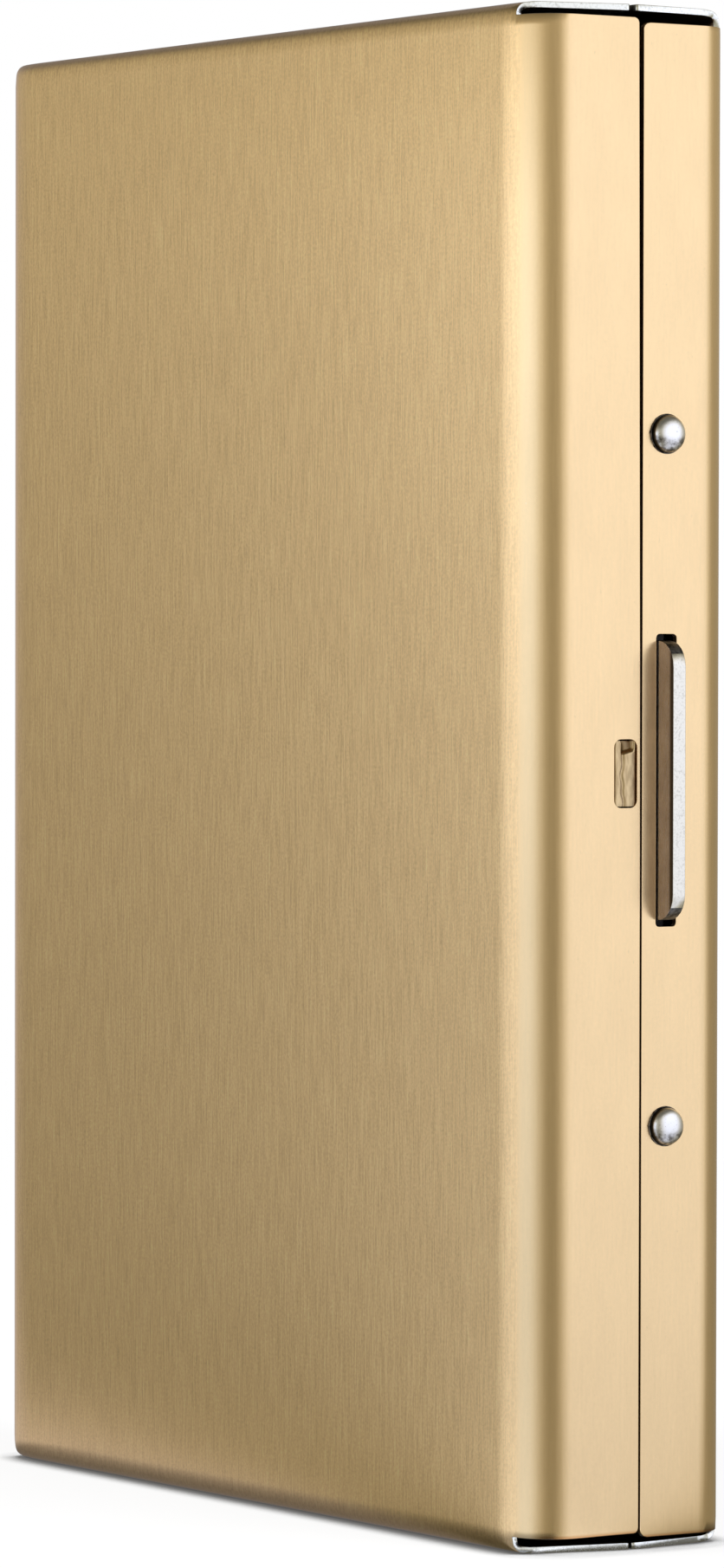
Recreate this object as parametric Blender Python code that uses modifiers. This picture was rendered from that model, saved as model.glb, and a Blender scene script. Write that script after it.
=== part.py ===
"""A slim metal card holder, standing on its short end.

Two covers folded from thin sheet meet at a parting line that runs round the case. A rolled
hinge joins them along one long side. On the other long side a riveted spring carries a push tab
and a catch. A black pleated sleeve with six pockets fans out between the covers.

Metres, +Z up. The hinge is on the -X side, the latch on the +X side and the front cover faces -Y.
"""

import math

import bmesh
import bpy

MM = 0.001
RIGHT_ANGLE = math.radians(90)

# Case: outside sizes and sheet
CASE_WIDTH = 65.0 * MM
CASE_HEIGHT = 95.0 * MM
CASE_DEPTH = 15.0 * MM
SHEET = 0.4 * MM
PARTING_TO_REAR = 0.25 * MM
PARTING_GAP = 0.12 * MM
PARTING_TAPER = 0.22 * MM
FACE_TO_PARTING_FRONT = CASE_DEPTH / 2 + PARTING_TO_REAR
FACE_TO_PARTING_REAR = CASE_DEPTH / 2 - PARTING_TO_REAR

# Long bends, between a face and its side walls: a soft start and then the bend itself
SIDE_SOFT_RADIUS = 14.0 * MM
SIDE_SOFT_ANGLE = math.radians(8)
SIDE_SOFT_STEPS = 2
SIDE_BEND_RADIUS = 2.7 * MM
SIDE_BEND_STEPS = 10

# Short bends, between a face and its end flaps: soft, tight and soft again
END_SOFT_RADIUS = 5.0 * MM
END_SOFT_ANGLE = math.radians(10)
END_SOFT_STEPS = 2
END_BEND_RADIUS = 0.75 * MM
END_BEND_STEPS = 6

# Open corners: the end flap stops short of the side wall, and the wall short of the flap
WALL_END_GAP = 0.57 * MM
FRONT_ROOT_RECESS = 2.7 * MM
REAR_ROOT_RECESS = 1.4 * MM
HINGE_ROOT_RECESS = 1.0 * MM
FLAP_TIP_RECESS = 0.8 * MM
FRONT_CORNER_RADIUS = 0.34 * MM
REAR_CORNER_RADIUS = 0.52 * MM
FLAP_CORNER_RADIUS = 0.3 * MM
CORNER_STEPS = 3
FRONT_WALL_SHIFT = 0.1 * MM
REAR_WALL_SHIFT = -0.18 * MM
FLAT_ANGLE = math.radians(0.08)
SMOOTH_ANGLE = math.radians(28)

# Hinge: knuckles rolled from the covers' own walls round one pin
PIN_RADIUS = 0.6 * MM
PIN_CLEARANCE = 0.1 * MM
KNUCKLE_RADIUS = PIN_RADIUS + PIN_CLEARANCE + SHEET
KNUCKLE_COUNT = 7
HINGE_END_MARGIN = 2.35 * MM
KNUCKLE_GAP = 0.3 * MM
KNUCKLE_ROLL = math.radians(285)
KNUCKLE_STEPS = 14
HINGE_WALL_CLEARANCE = 0.35 * MM
PIN_HEAD_RADIUS = 0.9 * MM
PIN_HEAD_HEIGHT = 0.35 * MM
PIN_HEAD_GAP = 0.15 * MM
PIN_STEPS = 20

# Push tab and catch, one bent plate
TAB_LENGTH = 17.2 * MM
TAB_THICKNESS = 0.95 * MM
TAB_REACH = 1.65 * MM
TAB_CORNER_RADIUS = 1.6 * MM
TAB_CORNER_STEPS = 6
TAB_NEAR_CLEARANCE = 0.11 * MM
TAB_FAR_CLEARANCE = 0.46 * MM
TAB_END_CLEARANCE = 0.4 * MM
SLOT_WIDTH = TAB_NEAR_CLEARANCE + TAB_THICKNESS + TAB_FAR_CLEARANCE
SLOT_LENGTH = TAB_LENGTH + 2 * TAB_END_CLEARANCE
SLOT_FROM_PARTING = 1.12 * MM
SLOT_CORNER_RADIUS = 0.25 * MM
FOOT_OVERLAP = 1.5 * MM
FOOT_LENGTH = SLOT_LENGTH + 2 * FOOT_OVERLAP
FOOT_FROM_PARTING = 0.6 * MM
FOOT_CORNER_RADIUS = 0.7 * MM
WALL_CLEARANCE = 0.25 * MM
LATCH_TRAVEL = 0.8 * MM
LATCH_SHIFT = -0.12 * MM
CATCH_SHIFT = 0.32 * MM
CATCH_SLOT_WIDTH = 1.7 * MM
CATCH_SLOT_LENGTH = 4.2 * MM
CATCH_SLOT_EDGE = 0.25 * MM
CATCH_SLOT_CORNER = 0.5 * MM
CATCH_SIDE_GAP = 0.14 * MM
CATCH_END_GAP = 0.3 * MM
CATCH_SINK = 0.1 * MM
CATCH_SOFTENING = 0.16 * MM
CATCH_CREST_SHARE = 0.42
TONGUE_MARGIN = 0.35 * MM

# Latch spring and its two rivets
RIVET_SPACING = 42.6 * MM
SPRING_PAST_RIVET = 3.2 * MM
SPRING_LENGTH = RIVET_SPACING + 2 * SPRING_PAST_RIVET
SPRING_WIDTH = 2.4 * MM
SPRING_THICKNESS = 0.3 * MM
SPRING_PAST_FOOT = 1.0 * MM
SPRING_PLATEAU = FOOT_LENGTH + 2 * SPRING_PAST_FOOT
SPRING_SLOPE = 5.5 * MM
RIVET_HEAD_RADIUS = 1.17 * MM
RIVET_HEAD_HEIGHT = 0.72 * MM
RIVET_HEAD_SQUARENESS = 2.8
RIVET_SHANK_RADIUS = 0.55 * MM
RIVET_HOLE_CLEARANCE = 0.1 * MM
RIVET_TAIL_RADIUS = 0.95 * MM
RIVET_TAIL_HEIGHT = 0.35 * MM
RIVET_SEAT_GAP = 0.03 * MM
DOME_STEPS = 8
RIVET_STEPS = 24

# Sleeve: seven leaves with six pleated pockets between them
POCKET_COUNT = 6
LEAF_THICKNESS = 0.5 * MM
LEAF_TO_FACE = 0.2 * MM
LEAF_SPINE_CLEARANCE = 0.6 * MM
LEAF_TO_LATCH = 0.6 * MM
LEAF_END_MARGIN = 2.6 * MM
LEAF_CORNER_RADIUS = 5.0 * MM
LEAF_CORNER_STEPS = 6
PLEAT_CLOTH = 0.25 * MM
PLEAT_TO_LEAF = 0.28 * MM
PLEAT_FOLD_RADIUS = 0.3 * MM
PLEAT_FOLD_STEPS = 4
SPINE_FOLD_DEPTH = 2.4 * MM
GUSSET_START_GAP = 0.3 * MM
GUSSET_SPINE_DEPTH = 1.6 * MM
GUSSET_FREE_DEPTH = 6.2 * MM
GUSSET_FREE_MARGIN = 1.2 * MM

# Overrun by which a cutter passes the faces that it cuts, and the distance that joins points
CUT_OVERRUN = 0.5 * MM
MERGE_DISTANCE = 0.01 * MM

# Places that follow from the sizes above
HALF_WIDTH = CASE_WIDTH / 2
HALF_HEIGHT = CASE_HEIGHT / 2
PARTING_Y = PARTING_TO_REAR
KNUCKLE_SPAN = CASE_HEIGHT - 2 * HINGE_END_MARGIN
HINGE_X = -HALF_WIDTH + KNUCKLE_RADIUS
HINGE_SETBACK = KNUCKLE_RADIUS + HINGE_WALL_CLEARANCE
WALL_INNER_X = HALF_WIDTH - SHEET
SIDE_SOFT_RUN = SIDE_SOFT_RADIUS * math.sin(SIDE_SOFT_ANGLE)
SIDE_BEND_RUN = SIDE_BEND_RADIUS * (1 - math.sin(SIDE_SOFT_ANGLE))
HALF_FLAT_WIDTH = HALF_WIDTH - SIDE_SOFT_RUN - SIDE_BEND_RUN
END_FAR_ANGLE = RIGHT_ANGLE - END_SOFT_ANGLE
END_RUN = END_SOFT_RADIUS * (math.sin(END_SOFT_ANGLE) + 1 - math.sin(END_FAR_ANGLE))
END_RUN += END_BEND_RADIUS * (math.sin(END_FAR_ANGLE) - math.sin(END_SOFT_ANGLE))
HALF_FLAT_HEIGHT = HALF_HEIGHT - END_RUN
WALL_REACH = HALF_HEIGHT - SHEET - WALL_END_GAP
SLOT_Y = PARTING_Y + SLOT_FROM_PARTING + SLOT_WIDTH / 2
TAB_Y = PARTING_Y + SLOT_FROM_PARTING + TAB_NEAR_CLEARANCE + TAB_THICKNESS / 2
CATCH_Y = PARTING_Y - PARTING_GAP / 2 - CATCH_SLOT_EDGE - CATCH_SLOT_WIDTH / 2
FOOT_OUTER_X = WALL_INNER_X - WALL_CLEARANCE
LATCH_Z = HALF_HEIGHT + LATCH_SHIFT
CATCH_Z = HALF_HEIGHT + CATCH_SHIFT
LEAF_SPINE_X = HINGE_X + KNUCKLE_RADIUS + LEAF_SPINE_CLEARANCE
SPRING_OUTER_X = FOOT_OUTER_X - TAB_THICKNESS - WALL_CLEARANCE
LEAF_FREE_X = SPRING_OUTER_X - SPRING_THICKNESS - LATCH_TRAVEL - LEAF_TO_LATCH
LEAF_REAR_Y = CASE_DEPTH / 2 - SHEET - LEAF_TO_FACE - LEAF_THICKNESS / 2
LEAF_PITCH = 2 * LEAF_REAR_Y / POCKET_COUNT
PLEAT_HALF_MOUTH = (LEAF_PITCH - LEAF_THICKNESS - PLEAT_CLOTH) / 2 - PLEAT_TO_LEAF

# Materials: colour, metallic, roughness
GOLD = ("brushed_gold", (0.72, 0.53, 0.29), 1.0, 0.34)
STEEL = ("bare_steel", (0.62, 0.6, 0.58), 1.0, 0.3)
SPRING_STEEL = ("spring_steel", (0.42, 0.41, 0.4), 1.0, 0.36)
LEAF_BLACK = ("leaf_black", (0.018, 0.018, 0.02), 0.0, 0.6)
CLOTH_BLACK = ("pleat_black", (0.012, 0.012, 0.014), 0.0, 0.85)


def clear_scene():
    for obj in list(bpy.data.objects):
        bpy.data.objects.remove(obj, do_unlink=True)


def new_collection(name):
    group = bpy.data.collections.new(name)
    bpy.context.scene.collection.children.link(group)
    return group


def material(name, colour, metallic, roughness):
    found = bpy.data.materials.get(name)
    if found:
        return found
    made = bpy.data.materials.new(name)
    made.use_nodes = True
    shader = made.node_tree.nodes["Principled BSDF"]
    shader.inputs["Base Color"].default_value = (*colour, 1)
    shader.inputs["Metallic"].default_value = metallic
    shader.inputs["Roughness"].default_value = roughness
    made.diffuse_color = (*colour, 1)
    return made


def axis_empty(name, parent, location):
    """An empty on a joint's axis, which carries the pieces that turn about it."""
    empty = bpy.data.objects.new(name, None)
    empty.parent = parent
    empty.location = location
    bpy.data.collections["card_holder"].objects.link(empty)
    return empty


def add_piece(name, mesh_builder, finish, parent, location=(0, 0, 0), rotation=(0, 0, 0)):
    """Makes one named object from a filled bmesh."""
    mesh = bpy.data.meshes.new(name)
    mesh_builder.to_mesh(mesh)
    mesh_builder.free()
    piece = bpy.data.objects.new(name, mesh)
    piece.parent = parent
    piece.location = location
    piece.rotation_euler = rotation
    mesh.materials.append(material(*finish))
    bpy.data.collections["card_holder"].objects.link(piece)
    return piece


def add_cutter(name, mesh_builder, parent, location, rotation=(0, 0, 0)):
    """A helper solid that is only there to be subtracted."""
    mesh = bpy.data.meshes.new(name)
    mesh_builder.to_mesh(mesh)
    mesh_builder.free()
    cutter = bpy.data.objects.new(name, mesh)
    cutter.parent = parent
    cutter.location = location
    cutter.rotation_euler = rotation
    cutter.hide_render = True
    cutter.display_type = "WIRE"
    bpy.data.collections["cutters"].objects.link(cutter)
    return cutter


def cut(piece, cutter, operation="DIFFERENCE"):
    boolean = piece.modifiers.new(cutter.name, "BOOLEAN")
    boolean.operation = operation
    boolean.solver = "EXACT"
    boolean.object = cutter


def thicken(piece, thickness, offset):
    solidify = piece.modifiers.new("thickness", "SOLIDIFY")
    solidify.thickness = thickness
    solidify.offset = offset
    solidify.use_even_offset = True
    solidify.use_quality_normals = True


def revolve(piece, steps):
    screw = piece.modifiers.new("turned", "SCREW")
    screw.axis = "Z"
    screw.steps = steps
    screw.render_steps = steps
    screw.use_merge_vertices = True
    screw.merge_threshold = MERGE_DISTANCE


def bake_smooth(piece):
    """Turns the modifiers into plain faces and shades the round ones smooth."""
    bpy.context.view_layer.update()
    graph = bpy.context.evaluated_depsgraph_get()
    baked = bpy.data.meshes.new_from_object(piece.evaluated_get(graph))
    piece.modifiers.clear()
    piece.data = baked
    baked.shade_smooth()
    baked.set_sharp_from_angle(angle=SMOOTH_ANGLE)


def block(size, radius=0, steps=1, along=0, chosen=None):
    """A box with the edges along one axis rounded, all of them or those that chosen picks."""
    builder = bmesh.new()
    bmesh.ops.create_cube(builder, size=1)
    bmesh.ops.scale(builder, vec=size, verts=builder.verts)
    if radius:
        edges = []
        for edge in builder.edges:
            run = edge.verts[1].co - edge.verts[0].co
            middle = (edge.verts[0].co + edge.verts[1].co) / 2
            if abs(run[along]) > 0 and (chosen is None or chosen(middle)):
                edges.append(edge)
        bmesh.ops.bevel(builder, geom=edges, offset=radius, segments=steps, profile=0.5, affect="EDGES")
    return builder


def cylinder(radius, length, steps):
    builder = bmesh.new()
    bmesh.ops.create_cone(
        builder, cap_ends=True, segments=steps, radius1=radius, radius2=radius, depth=length
    )
    return builder


def turned_profile(points):
    """The outline of a turned piece, from its top on the axis down its outer side."""
    builder = bmesh.new()
    verts = [builder.verts.new((radius, 0, height)) for radius, height in points]
    for upper, lower in zip(verts, verts[1:]):
        builder.edges.new((upper, lower))
    return builder


def bend(path, radius, start, end, steps):
    """Adds a bend to a path of (run, drop) points, from one heading to another."""
    run, drop = path[-1]
    for step in range(1, steps + 1):
        angle = start + (end - start) * step / steps
        across = radius * (math.sin(angle) - math.sin(start))
        down = radius * (math.cos(start) - math.cos(angle))
        path.append((run + across, drop + down))


def side_path(wall_depth, root_recess):
    """From the flat of the face, round the long bend and down the wall, with the flap's root marked."""
    path = [(HALF_FLAT_WIDTH, 0)]
    bend(path, SIDE_SOFT_RADIUS, 0, SIDE_SOFT_ANGLE, SIDE_SOFT_STEPS)
    bend(path, SIDE_BEND_RADIUS, SIDE_SOFT_ANGLE, RIGHT_ANGLE, SIDE_BEND_STEPS)
    path.append((HALF_WIDTH, wall_depth))
    root_run = HALF_WIDTH - root_recess
    root = next(index for index, (run, drop) in enumerate(path) if run > root_run)
    near_run, near_drop = path[root - 1]
    far_run, far_drop = path[root]
    share = (root_run - near_run) / (far_run - near_run)
    path.insert(root, (root_run, near_drop + share * (far_drop - near_drop)))
    return path, root


def hinge_path(axis_depth):
    """The same on the hinge side, with the stretch that is rolled into a knuckle."""
    path, root = side_path(axis_depth - HINGE_SETBACK, HINGE_ROOT_RECESS)
    edge = len(path) - 1
    path.append((HALF_WIDTH, axis_depth))
    bend(path, KNUCKLE_RADIUS, RIGHT_ANGLE, RIGHT_ANGLE + KNUCKLE_ROLL, KNUCKLE_STEPS)
    return path, root, edge


def end_path(wall_reach, flap_depth):
    """From the flat of the face, round the short bend and down the flap. Row 1 is the wall's end."""
    wall_angle = math.asin((wall_reach - HALF_FLAT_HEIGHT) / END_SOFT_RADIUS)
    path = [(HALF_FLAT_HEIGHT, 0)]
    bend(path, END_SOFT_RADIUS, 0, wall_angle, 1)
    bend(path, END_SOFT_RADIUS, wall_angle, END_SOFT_ANGLE, 1)
    bend(path, END_BEND_RADIUS, END_SOFT_ANGLE, END_FAR_ANGLE, END_BEND_STEPS)
    bend(path, END_SOFT_RADIUS, END_FAR_ANGLE, RIGHT_ANGLE, END_SOFT_STEPS)
    path.append((HALF_HEIGHT, flap_depth))
    return path


def knuckle_spans(first):
    """Height ranges, from mid-height, of every second knuckle."""
    pitch = (KNUCKLE_SPAN + KNUCKLE_GAP) / KNUCKLE_COUNT
    spans = []
    for index in range(first, KNUCKLE_COUNT, 2):
        low = index * pitch - KNUCKLE_SPAN / 2
        spans.append((low, low + pitch - KNUCKLE_GAP))
    return spans


def numbered(path, side):
    """The places of a path with their indexes, on one side of the middle."""
    return [(side * run, drop, index) for index, (run, drop) in enumerate(path)]


class Blank:
    """The outer surface of a folded cover: its face on y = 0, facing -Y, walls and flaps towards +Y.

    Columns run across the sheet and rows up it. Each has its place, its drop behind the face and
    its index from the flat of the face outwards. Only the cells that the blank holds become faces.
    The free edges run along the parting line, and draw back by the taper towards the top.
    """

    def __init__(self, face_to_parting, taper, root_recess, wall_shift, corner_radius, spans, hinge_side):
        self.depth = face_to_parting - PARTING_GAP / 2
        self.taper = taper
        self.root_recess = root_recess
        self.corner_radius = corner_radius
        self.spans = spans
        self.hinge_side = hinge_side
        latch, self.latch_root = side_path(self.depth, root_recess)
        hinge, self.hinge_root, self.hinge_edge = hinge_path(face_to_parting)
        self.latch_edge = len(latch) - 1
        self.columns = sorted_outwards(numbered(hinge, hinge_side), numbered(latch, -hinge_side))
        top = end_path(WALL_REACH + wall_shift, self.edge_depth(HALF_HEIGHT))
        low = end_path(WALL_REACH - wall_shift, self.edge_depth(-HALF_HEIGHT))
        self.flap_edge = len(top) - 1
        middle = sorted({height for span in spans for height in span})
        knuckle_rows = [(height, 0, 0) for height in middle]
        self.rows = numbered(low, -1)[::-1] + knuckle_rows + numbered(top, 1)

    def edge_depth(self, height):
        return self.depth - self.taper * max(0, height) / HALF_HEIGHT

    def on_hinge(self, column):
        return self.columns[column][0] * self.hinge_side > 0

    def wall_edge(self, column):
        return self.hinge_edge if self.on_hinge(column) else self.latch_edge

    def root(self, column):
        return self.hinge_root if self.on_hinge(column) else self.latch_root

    def end_bend_share(self, column):
        """How much of an end bend reaches a column: all up to the flap's root, none at the wall's edge."""
        past_root = max(0, self.columns[column][2] - self.root(column))
        return (1 - past_root / (self.wall_edge(column) - self.root(column))) ** 2

    def holds(self, row, column):
        """Whether the blank has sheet in the cell above this row and beyond this column."""
        crosses_face = self.columns[column][0] * self.columns[column + 1][0] < 0
        outer = max(self.columns[column][2], self.columns[column + 1][2])
        past_wall_end = max(self.rows[row][2], self.rows[row + 1][2]) > 1
        if crosses_face:
            return True
        if past_wall_end:
            return outer <= self.root(column)
        if outer <= self.wall_edge(column):
            return True
        height = (self.rows[row][0] + self.rows[row + 1][0]) / 2
        return any(low < height < high for low, high in self.spans)

    def place(self, row, column):
        height, row_drop, row_index = self.rows[row]
        across, column_drop, column_index = self.columns[column]
        depth = row_drop * self.end_bend_share(column) + column_drop
        if row_index == self.flap_edge or column_index == self.latch_edge and not self.on_hinge(column):
            depth = self.edge_depth(height)
        elif column_index >= self.wall_edge(column):
            depth = column_drop
        if row_index > 1 and column_index == self.root(column):
            recess = HINGE_ROOT_RECESS if self.on_hinge(column) else self.root_recess
            slant = (recess - FLAP_TIP_RECESS) * row_drop / self.depth
            across += math.copysign(slant, across)
        return (across, depth, height)

    def build(self):
        builder = bmesh.new()
        grid = {}
        for row in range(len(self.rows) - 1):
            for column in range(len(self.columns) - 1):
                if not self.holds(row, column):
                    continue
                corners = ((row, column), (row, column + 1), (row + 1, column + 1), (row + 1, column))
                for corner in corners:
                    if corner not in grid:
                        grid[corner] = builder.verts.new(self.place(*corner))
                builder.faces.new([grid[corner] for corner in corners])
        wall_corners = []
        flap_corners = []
        for (row, column), vert in grid.items():
            row_index = self.rows[row][2]
            column_index = self.columns[column][2]
            if row_index == 1 and column_index == self.wall_edge(column):
                wall_corners.append(vert)
            if row_index == self.flap_edge and column_index == self.root(column):
                flap_corners.append(vert)
        bmesh.ops.dissolve_limit(builder, angle_limit=FLAT_ANGLE, verts=builder.verts, edges=builder.edges)
        round_corners(builder, wall_corners, self.corner_radius)
        round_corners(builder, flap_corners, FLAP_CORNER_RADIUS)
        return builder


def sorted_outwards(*sides):
    """The columns of both sides from -X to +X, kept in the order of their paths."""
    left, right = sorted(sides, key=lambda side: side[0][0])
    return left[::-1] + right


def round_corners(builder, corners, radius):
    bmesh.ops.bevel(
        builder, geom=corners, offset=radius, segments=CORNER_STEPS, profile=0.5, affect="VERTICES"
    )


def make_front_cover(axis):
    location = (-HINGE_X, -CASE_DEPTH / 2 - PARTING_Y, HALF_HEIGHT)
    blank = Blank(
        FACE_TO_PARTING_FRONT,
        PARTING_TAPER,
        FRONT_ROOT_RECESS,
        FRONT_WALL_SHIFT,
        FRONT_CORNER_RADIUS,
        knuckle_spans(1),
        -1,
    )
    cover = add_piece("front_cover", blank.build(), GOLD, axis, location)
    thicken(cover, SHEET, -1)
    size = (SHEET + 2 * CUT_OVERRUN, CATCH_SLOT_WIDTH, CATCH_SLOT_LENGTH)
    slot = block(size, CATCH_SLOT_CORNER, TAB_CORNER_STEPS, 0)
    centre = (WALL_INNER_X + SHEET / 2 - HINGE_X, CATCH_Y - PARTING_Y, CATCH_Z)
    cut(cover, add_cutter("catch_slot_cutter", slot, axis, centre))
    bake_smooth(cover)


def make_rear_cover(root):
    location = (0, CASE_DEPTH / 2, HALF_HEIGHT)
    blank = Blank(
        FACE_TO_PARTING_REAR, 0, REAR_ROOT_RECESS, REAR_WALL_SHIFT, REAR_CORNER_RADIUS, knuckle_spans(0), 1
    )
    cover = add_piece("rear_cover", blank.build(), GOLD, root, location, (0, 0, 2 * RIGHT_ANGLE))
    thicken(cover, SHEET, -1)
    through = SHEET + 2 * CUT_OVERRUN
    slot = block((through, SLOT_WIDTH, SLOT_LENGTH), SLOT_CORNER_RADIUS, CORNER_STEPS, 0)
    wall_x = WALL_INNER_X + SHEET / 2
    cut(cover, add_cutter("lever_slot_cutter", slot, root, (wall_x, SLOT_Y, LATCH_Z)))
    for name, height in rivet_places():
        hole = cylinder(RIVET_SHANK_RADIUS + RIVET_HOLE_CLEARANCE, through, RIVET_STEPS)
        place = (wall_x, SLOT_Y, height)
        cut(cover, add_cutter(f"{name}_hole_cutter", hole, root, place, (0, RIGHT_ANGLE, 0)))
    bake_smooth(cover)


def make_hinge_pin(root):
    half = KNUCKLE_SPAN / 2 + PIN_HEAD_GAP
    rounding = PIN_HEAD_HEIGHT / 2
    points = [
        (0, half + PIN_HEAD_HEIGHT),
        (PIN_HEAD_RADIUS - rounding, half + PIN_HEAD_HEIGHT),
        (PIN_HEAD_RADIUS, half + rounding),
        (PIN_HEAD_RADIUS, half),
        (PIN_RADIUS, half),
    ]
    points += [(radius, -height) for radius, height in reversed(points)]
    pin = add_piece("hinge_pin", turned_profile(points), STEEL, root, (HINGE_X, PARTING_Y, HALF_HEIGHT))
    revolve(pin, PIN_STEPS)
    bake_smooth(pin)


def rivet_places():
    half = RIVET_SPACING / 2
    return (("rivet_upper", LATCH_Z + half), ("rivet_lower", LATCH_Z - half))


def make_rivets(root):
    """Flattened domes outside the wall, shanks through wall and spring, flat tails inside."""
    grip = SHEET + WALL_CLEARANCE + SPRING_THICKNESS + 2 * RIVET_SEAT_GAP
    points = []
    power = 2 / RIVET_HEAD_SQUARENESS
    for step in range(DOME_STEPS):
        angle = RIGHT_ANGLE * step / DOME_STEPS
        reach = RIVET_HEAD_RADIUS * math.sin(angle) ** power
        points.append((reach, RIVET_HEAD_HEIGHT * math.cos(angle) ** power))
    points.append((RIVET_HEAD_RADIUS, 0))
    points += [
        (RIVET_SHANK_RADIUS, 0),
        (RIVET_SHANK_RADIUS, -grip),
        (RIVET_TAIL_RADIUS, -grip),
        (RIVET_TAIL_RADIUS, -grip - RIVET_TAIL_HEIGHT),
        (0, -grip - RIVET_TAIL_HEIGHT),
    ]
    for name, height in rivet_places():
        place = (HALF_WIDTH + RIVET_SEAT_GAP, SLOT_Y, height)
        rivet = add_piece(name, turned_profile(points), STEEL, root, place, (0, RIGHT_ANGLE, 0))
        revolve(rivet, RIVET_STEPS)
        bake_smooth(rivet)


def make_latch_plate(root):
    """The push tab, the foot that keeps it inside, and the tongue with the catch."""
    origin = (FOOT_OUTER_X, TAB_Y, LATCH_Z)
    top_x = HALF_WIDTH + TAB_REACH
    tab_size = (top_x - FOOT_OUTER_X + TAB_THICKNESS, TAB_THICKNESS, TAB_LENGTH)
    tab = block(tab_size, TAB_CORNER_RADIUS, TAB_CORNER_STEPS, 1, lambda middle: middle.x > 0)
    bmesh.ops.translate(tab, vec=(tab_size[0] / 2 - TAB_THICKNESS, 0, 0), verts=tab.verts)
    plate = add_piece("latch_plate", tab, STEEL, root, origin)

    foot_width = TAB_Y + TAB_THICKNESS / 2 - PARTING_Y - FOOT_FROM_PARTING
    foot = block((TAB_THICKNESS, foot_width, FOOT_LENGTH), FOOT_CORNER_RADIUS, CORNER_STEPS, 0)
    foot_place = (-TAB_THICKNESS / 2, TAB_THICKNESS / 2 - foot_width / 2, 0)
    cut(plate, add_cutter("foot_form", foot, plate, foot_place), "UNION")

    tongue_width = TAB_Y - CATCH_Y + CATCH_SLOT_WIDTH / 2 + TONGUE_MARGIN
    tongue_size = (TAB_THICKNESS, tongue_width, CATCH_SLOT_LENGTH + 2 * TONGUE_MARGIN)
    tongue = block(tongue_size, FOOT_CORNER_RADIUS, CORNER_STEPS, 0, lambda middle: middle.y < 0)
    tongue_place = (-TAB_THICKNESS / 2, -tongue_width / 2, CATCH_Z - LATCH_Z)
    cut(plate, add_cutter("tongue_form", tongue, plate, tongue_place), "UNION")

    catch_place = (0, CATCH_Y - TAB_Y, CATCH_Z - LATCH_Z)
    cut(plate, add_cutter("catch_form", catch_wedge(), plate, catch_place), "UNION")
    bake_smooth(plate)


def catch_wedge():
    """The raised catch: a ramp that rises from its far edge to a crest, steep on the near side."""
    width = CATCH_SLOT_WIDTH - 2 * CATCH_SIDE_GAP
    length = CATCH_SLOT_LENGTH - 2 * CATCH_END_GAP
    rise = HALF_WIDTH - CATCH_SINK - FOOT_OUTER_X
    wedge = block((rise + TAB_THICKNESS / 2, width, length))
    bmesh.ops.translate(wedge, vec=(rise / 2 - TAB_THICKNESS / 4, 0, 0), verts=wedge.verts)
    for vert in wedge.verts:
        if vert.co.x > 0 and vert.co.y < 0:
            vert.co.y += width * CATCH_CREST_SHARE
    top_edges = [edge for edge in wedge.edges if all(vert.co.x > 0 for vert in edge.verts)]
    bmesh.ops.bevel(
        wedge, geom=top_edges, offset=CATCH_SOFTENING, segments=CORNER_STEPS, profile=0.5, affect="EDGES"
    )
    return wedge


def make_latch_spring(root):
    """A strip riveted to the wall at both ends, set inwards in the middle behind the plate's foot."""
    wall_x = FOOT_OUTER_X
    plate_x = SPRING_OUTER_X
    half_plateau = SPRING_PLATEAU / 2
    outline = [
        (wall_x, SPRING_LENGTH / 2),
        (wall_x, half_plateau + SPRING_SLOPE),
        (plate_x, half_plateau),
        (plate_x, -half_plateau),
        (wall_x, -half_plateau - SPRING_SLOPE),
        (wall_x, -SPRING_LENGTH / 2),
    ]
    builder = bmesh.new()
    near = [builder.verts.new((x, -SPRING_WIDTH / 2, z)) for x, z in outline]
    far = [builder.verts.new((x, SPRING_WIDTH / 2, z)) for x, z in outline]
    for index in range(len(outline) - 1):
        builder.faces.new((near[index], near[index + 1], far[index + 1], far[index]))
    spring = add_piece("latch_spring", builder, SPRING_STEEL, root, (0, SLOT_Y, LATCH_Z))
    thicken(spring, SPRING_THICKNESS, -1)
    for name, height in rivet_places():
        hole = cylinder(RIVET_SHANK_RADIUS + RIVET_HOLE_CLEARANCE, SHEET + 2 * CUT_OVERRUN, RIVET_STEPS)
        place = (wall_x - SPRING_THICKNESS / 2, 0, height - LATCH_Z)
        cut(spring, add_cutter(f"{name}_spring_cutter", hole, spring, place, (0, RIGHT_ANGLE, 0)))
    bake_smooth(spring)


def leaf_y(index):
    """The middle of a leaf. Leaf 0 is glued to the rear cover and the last one to the front cover."""
    return LEAF_REAR_Y - index * LEAF_PITCH


def make_leaves(carriers):
    length = LEAF_FREE_X - LEAF_SPINE_X
    height = CASE_HEIGHT - 2 * LEAF_END_MARGIN
    for index, (carrier, offset) in enumerate(carriers):
        size = (length, LEAF_THICKNESS, height)
        leaf = block(size, LEAF_CORNER_RADIUS, LEAF_CORNER_STEPS, 1, lambda middle: middle.x > 0)
        place = (LEAF_SPINE_X + length / 2 - offset[0], leaf_y(index) - offset[1], HALF_HEIGHT)
        bake_smooth(add_piece(f"leaf_{index}", leaf, LEAF_BLACK, carrier, place))


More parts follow.
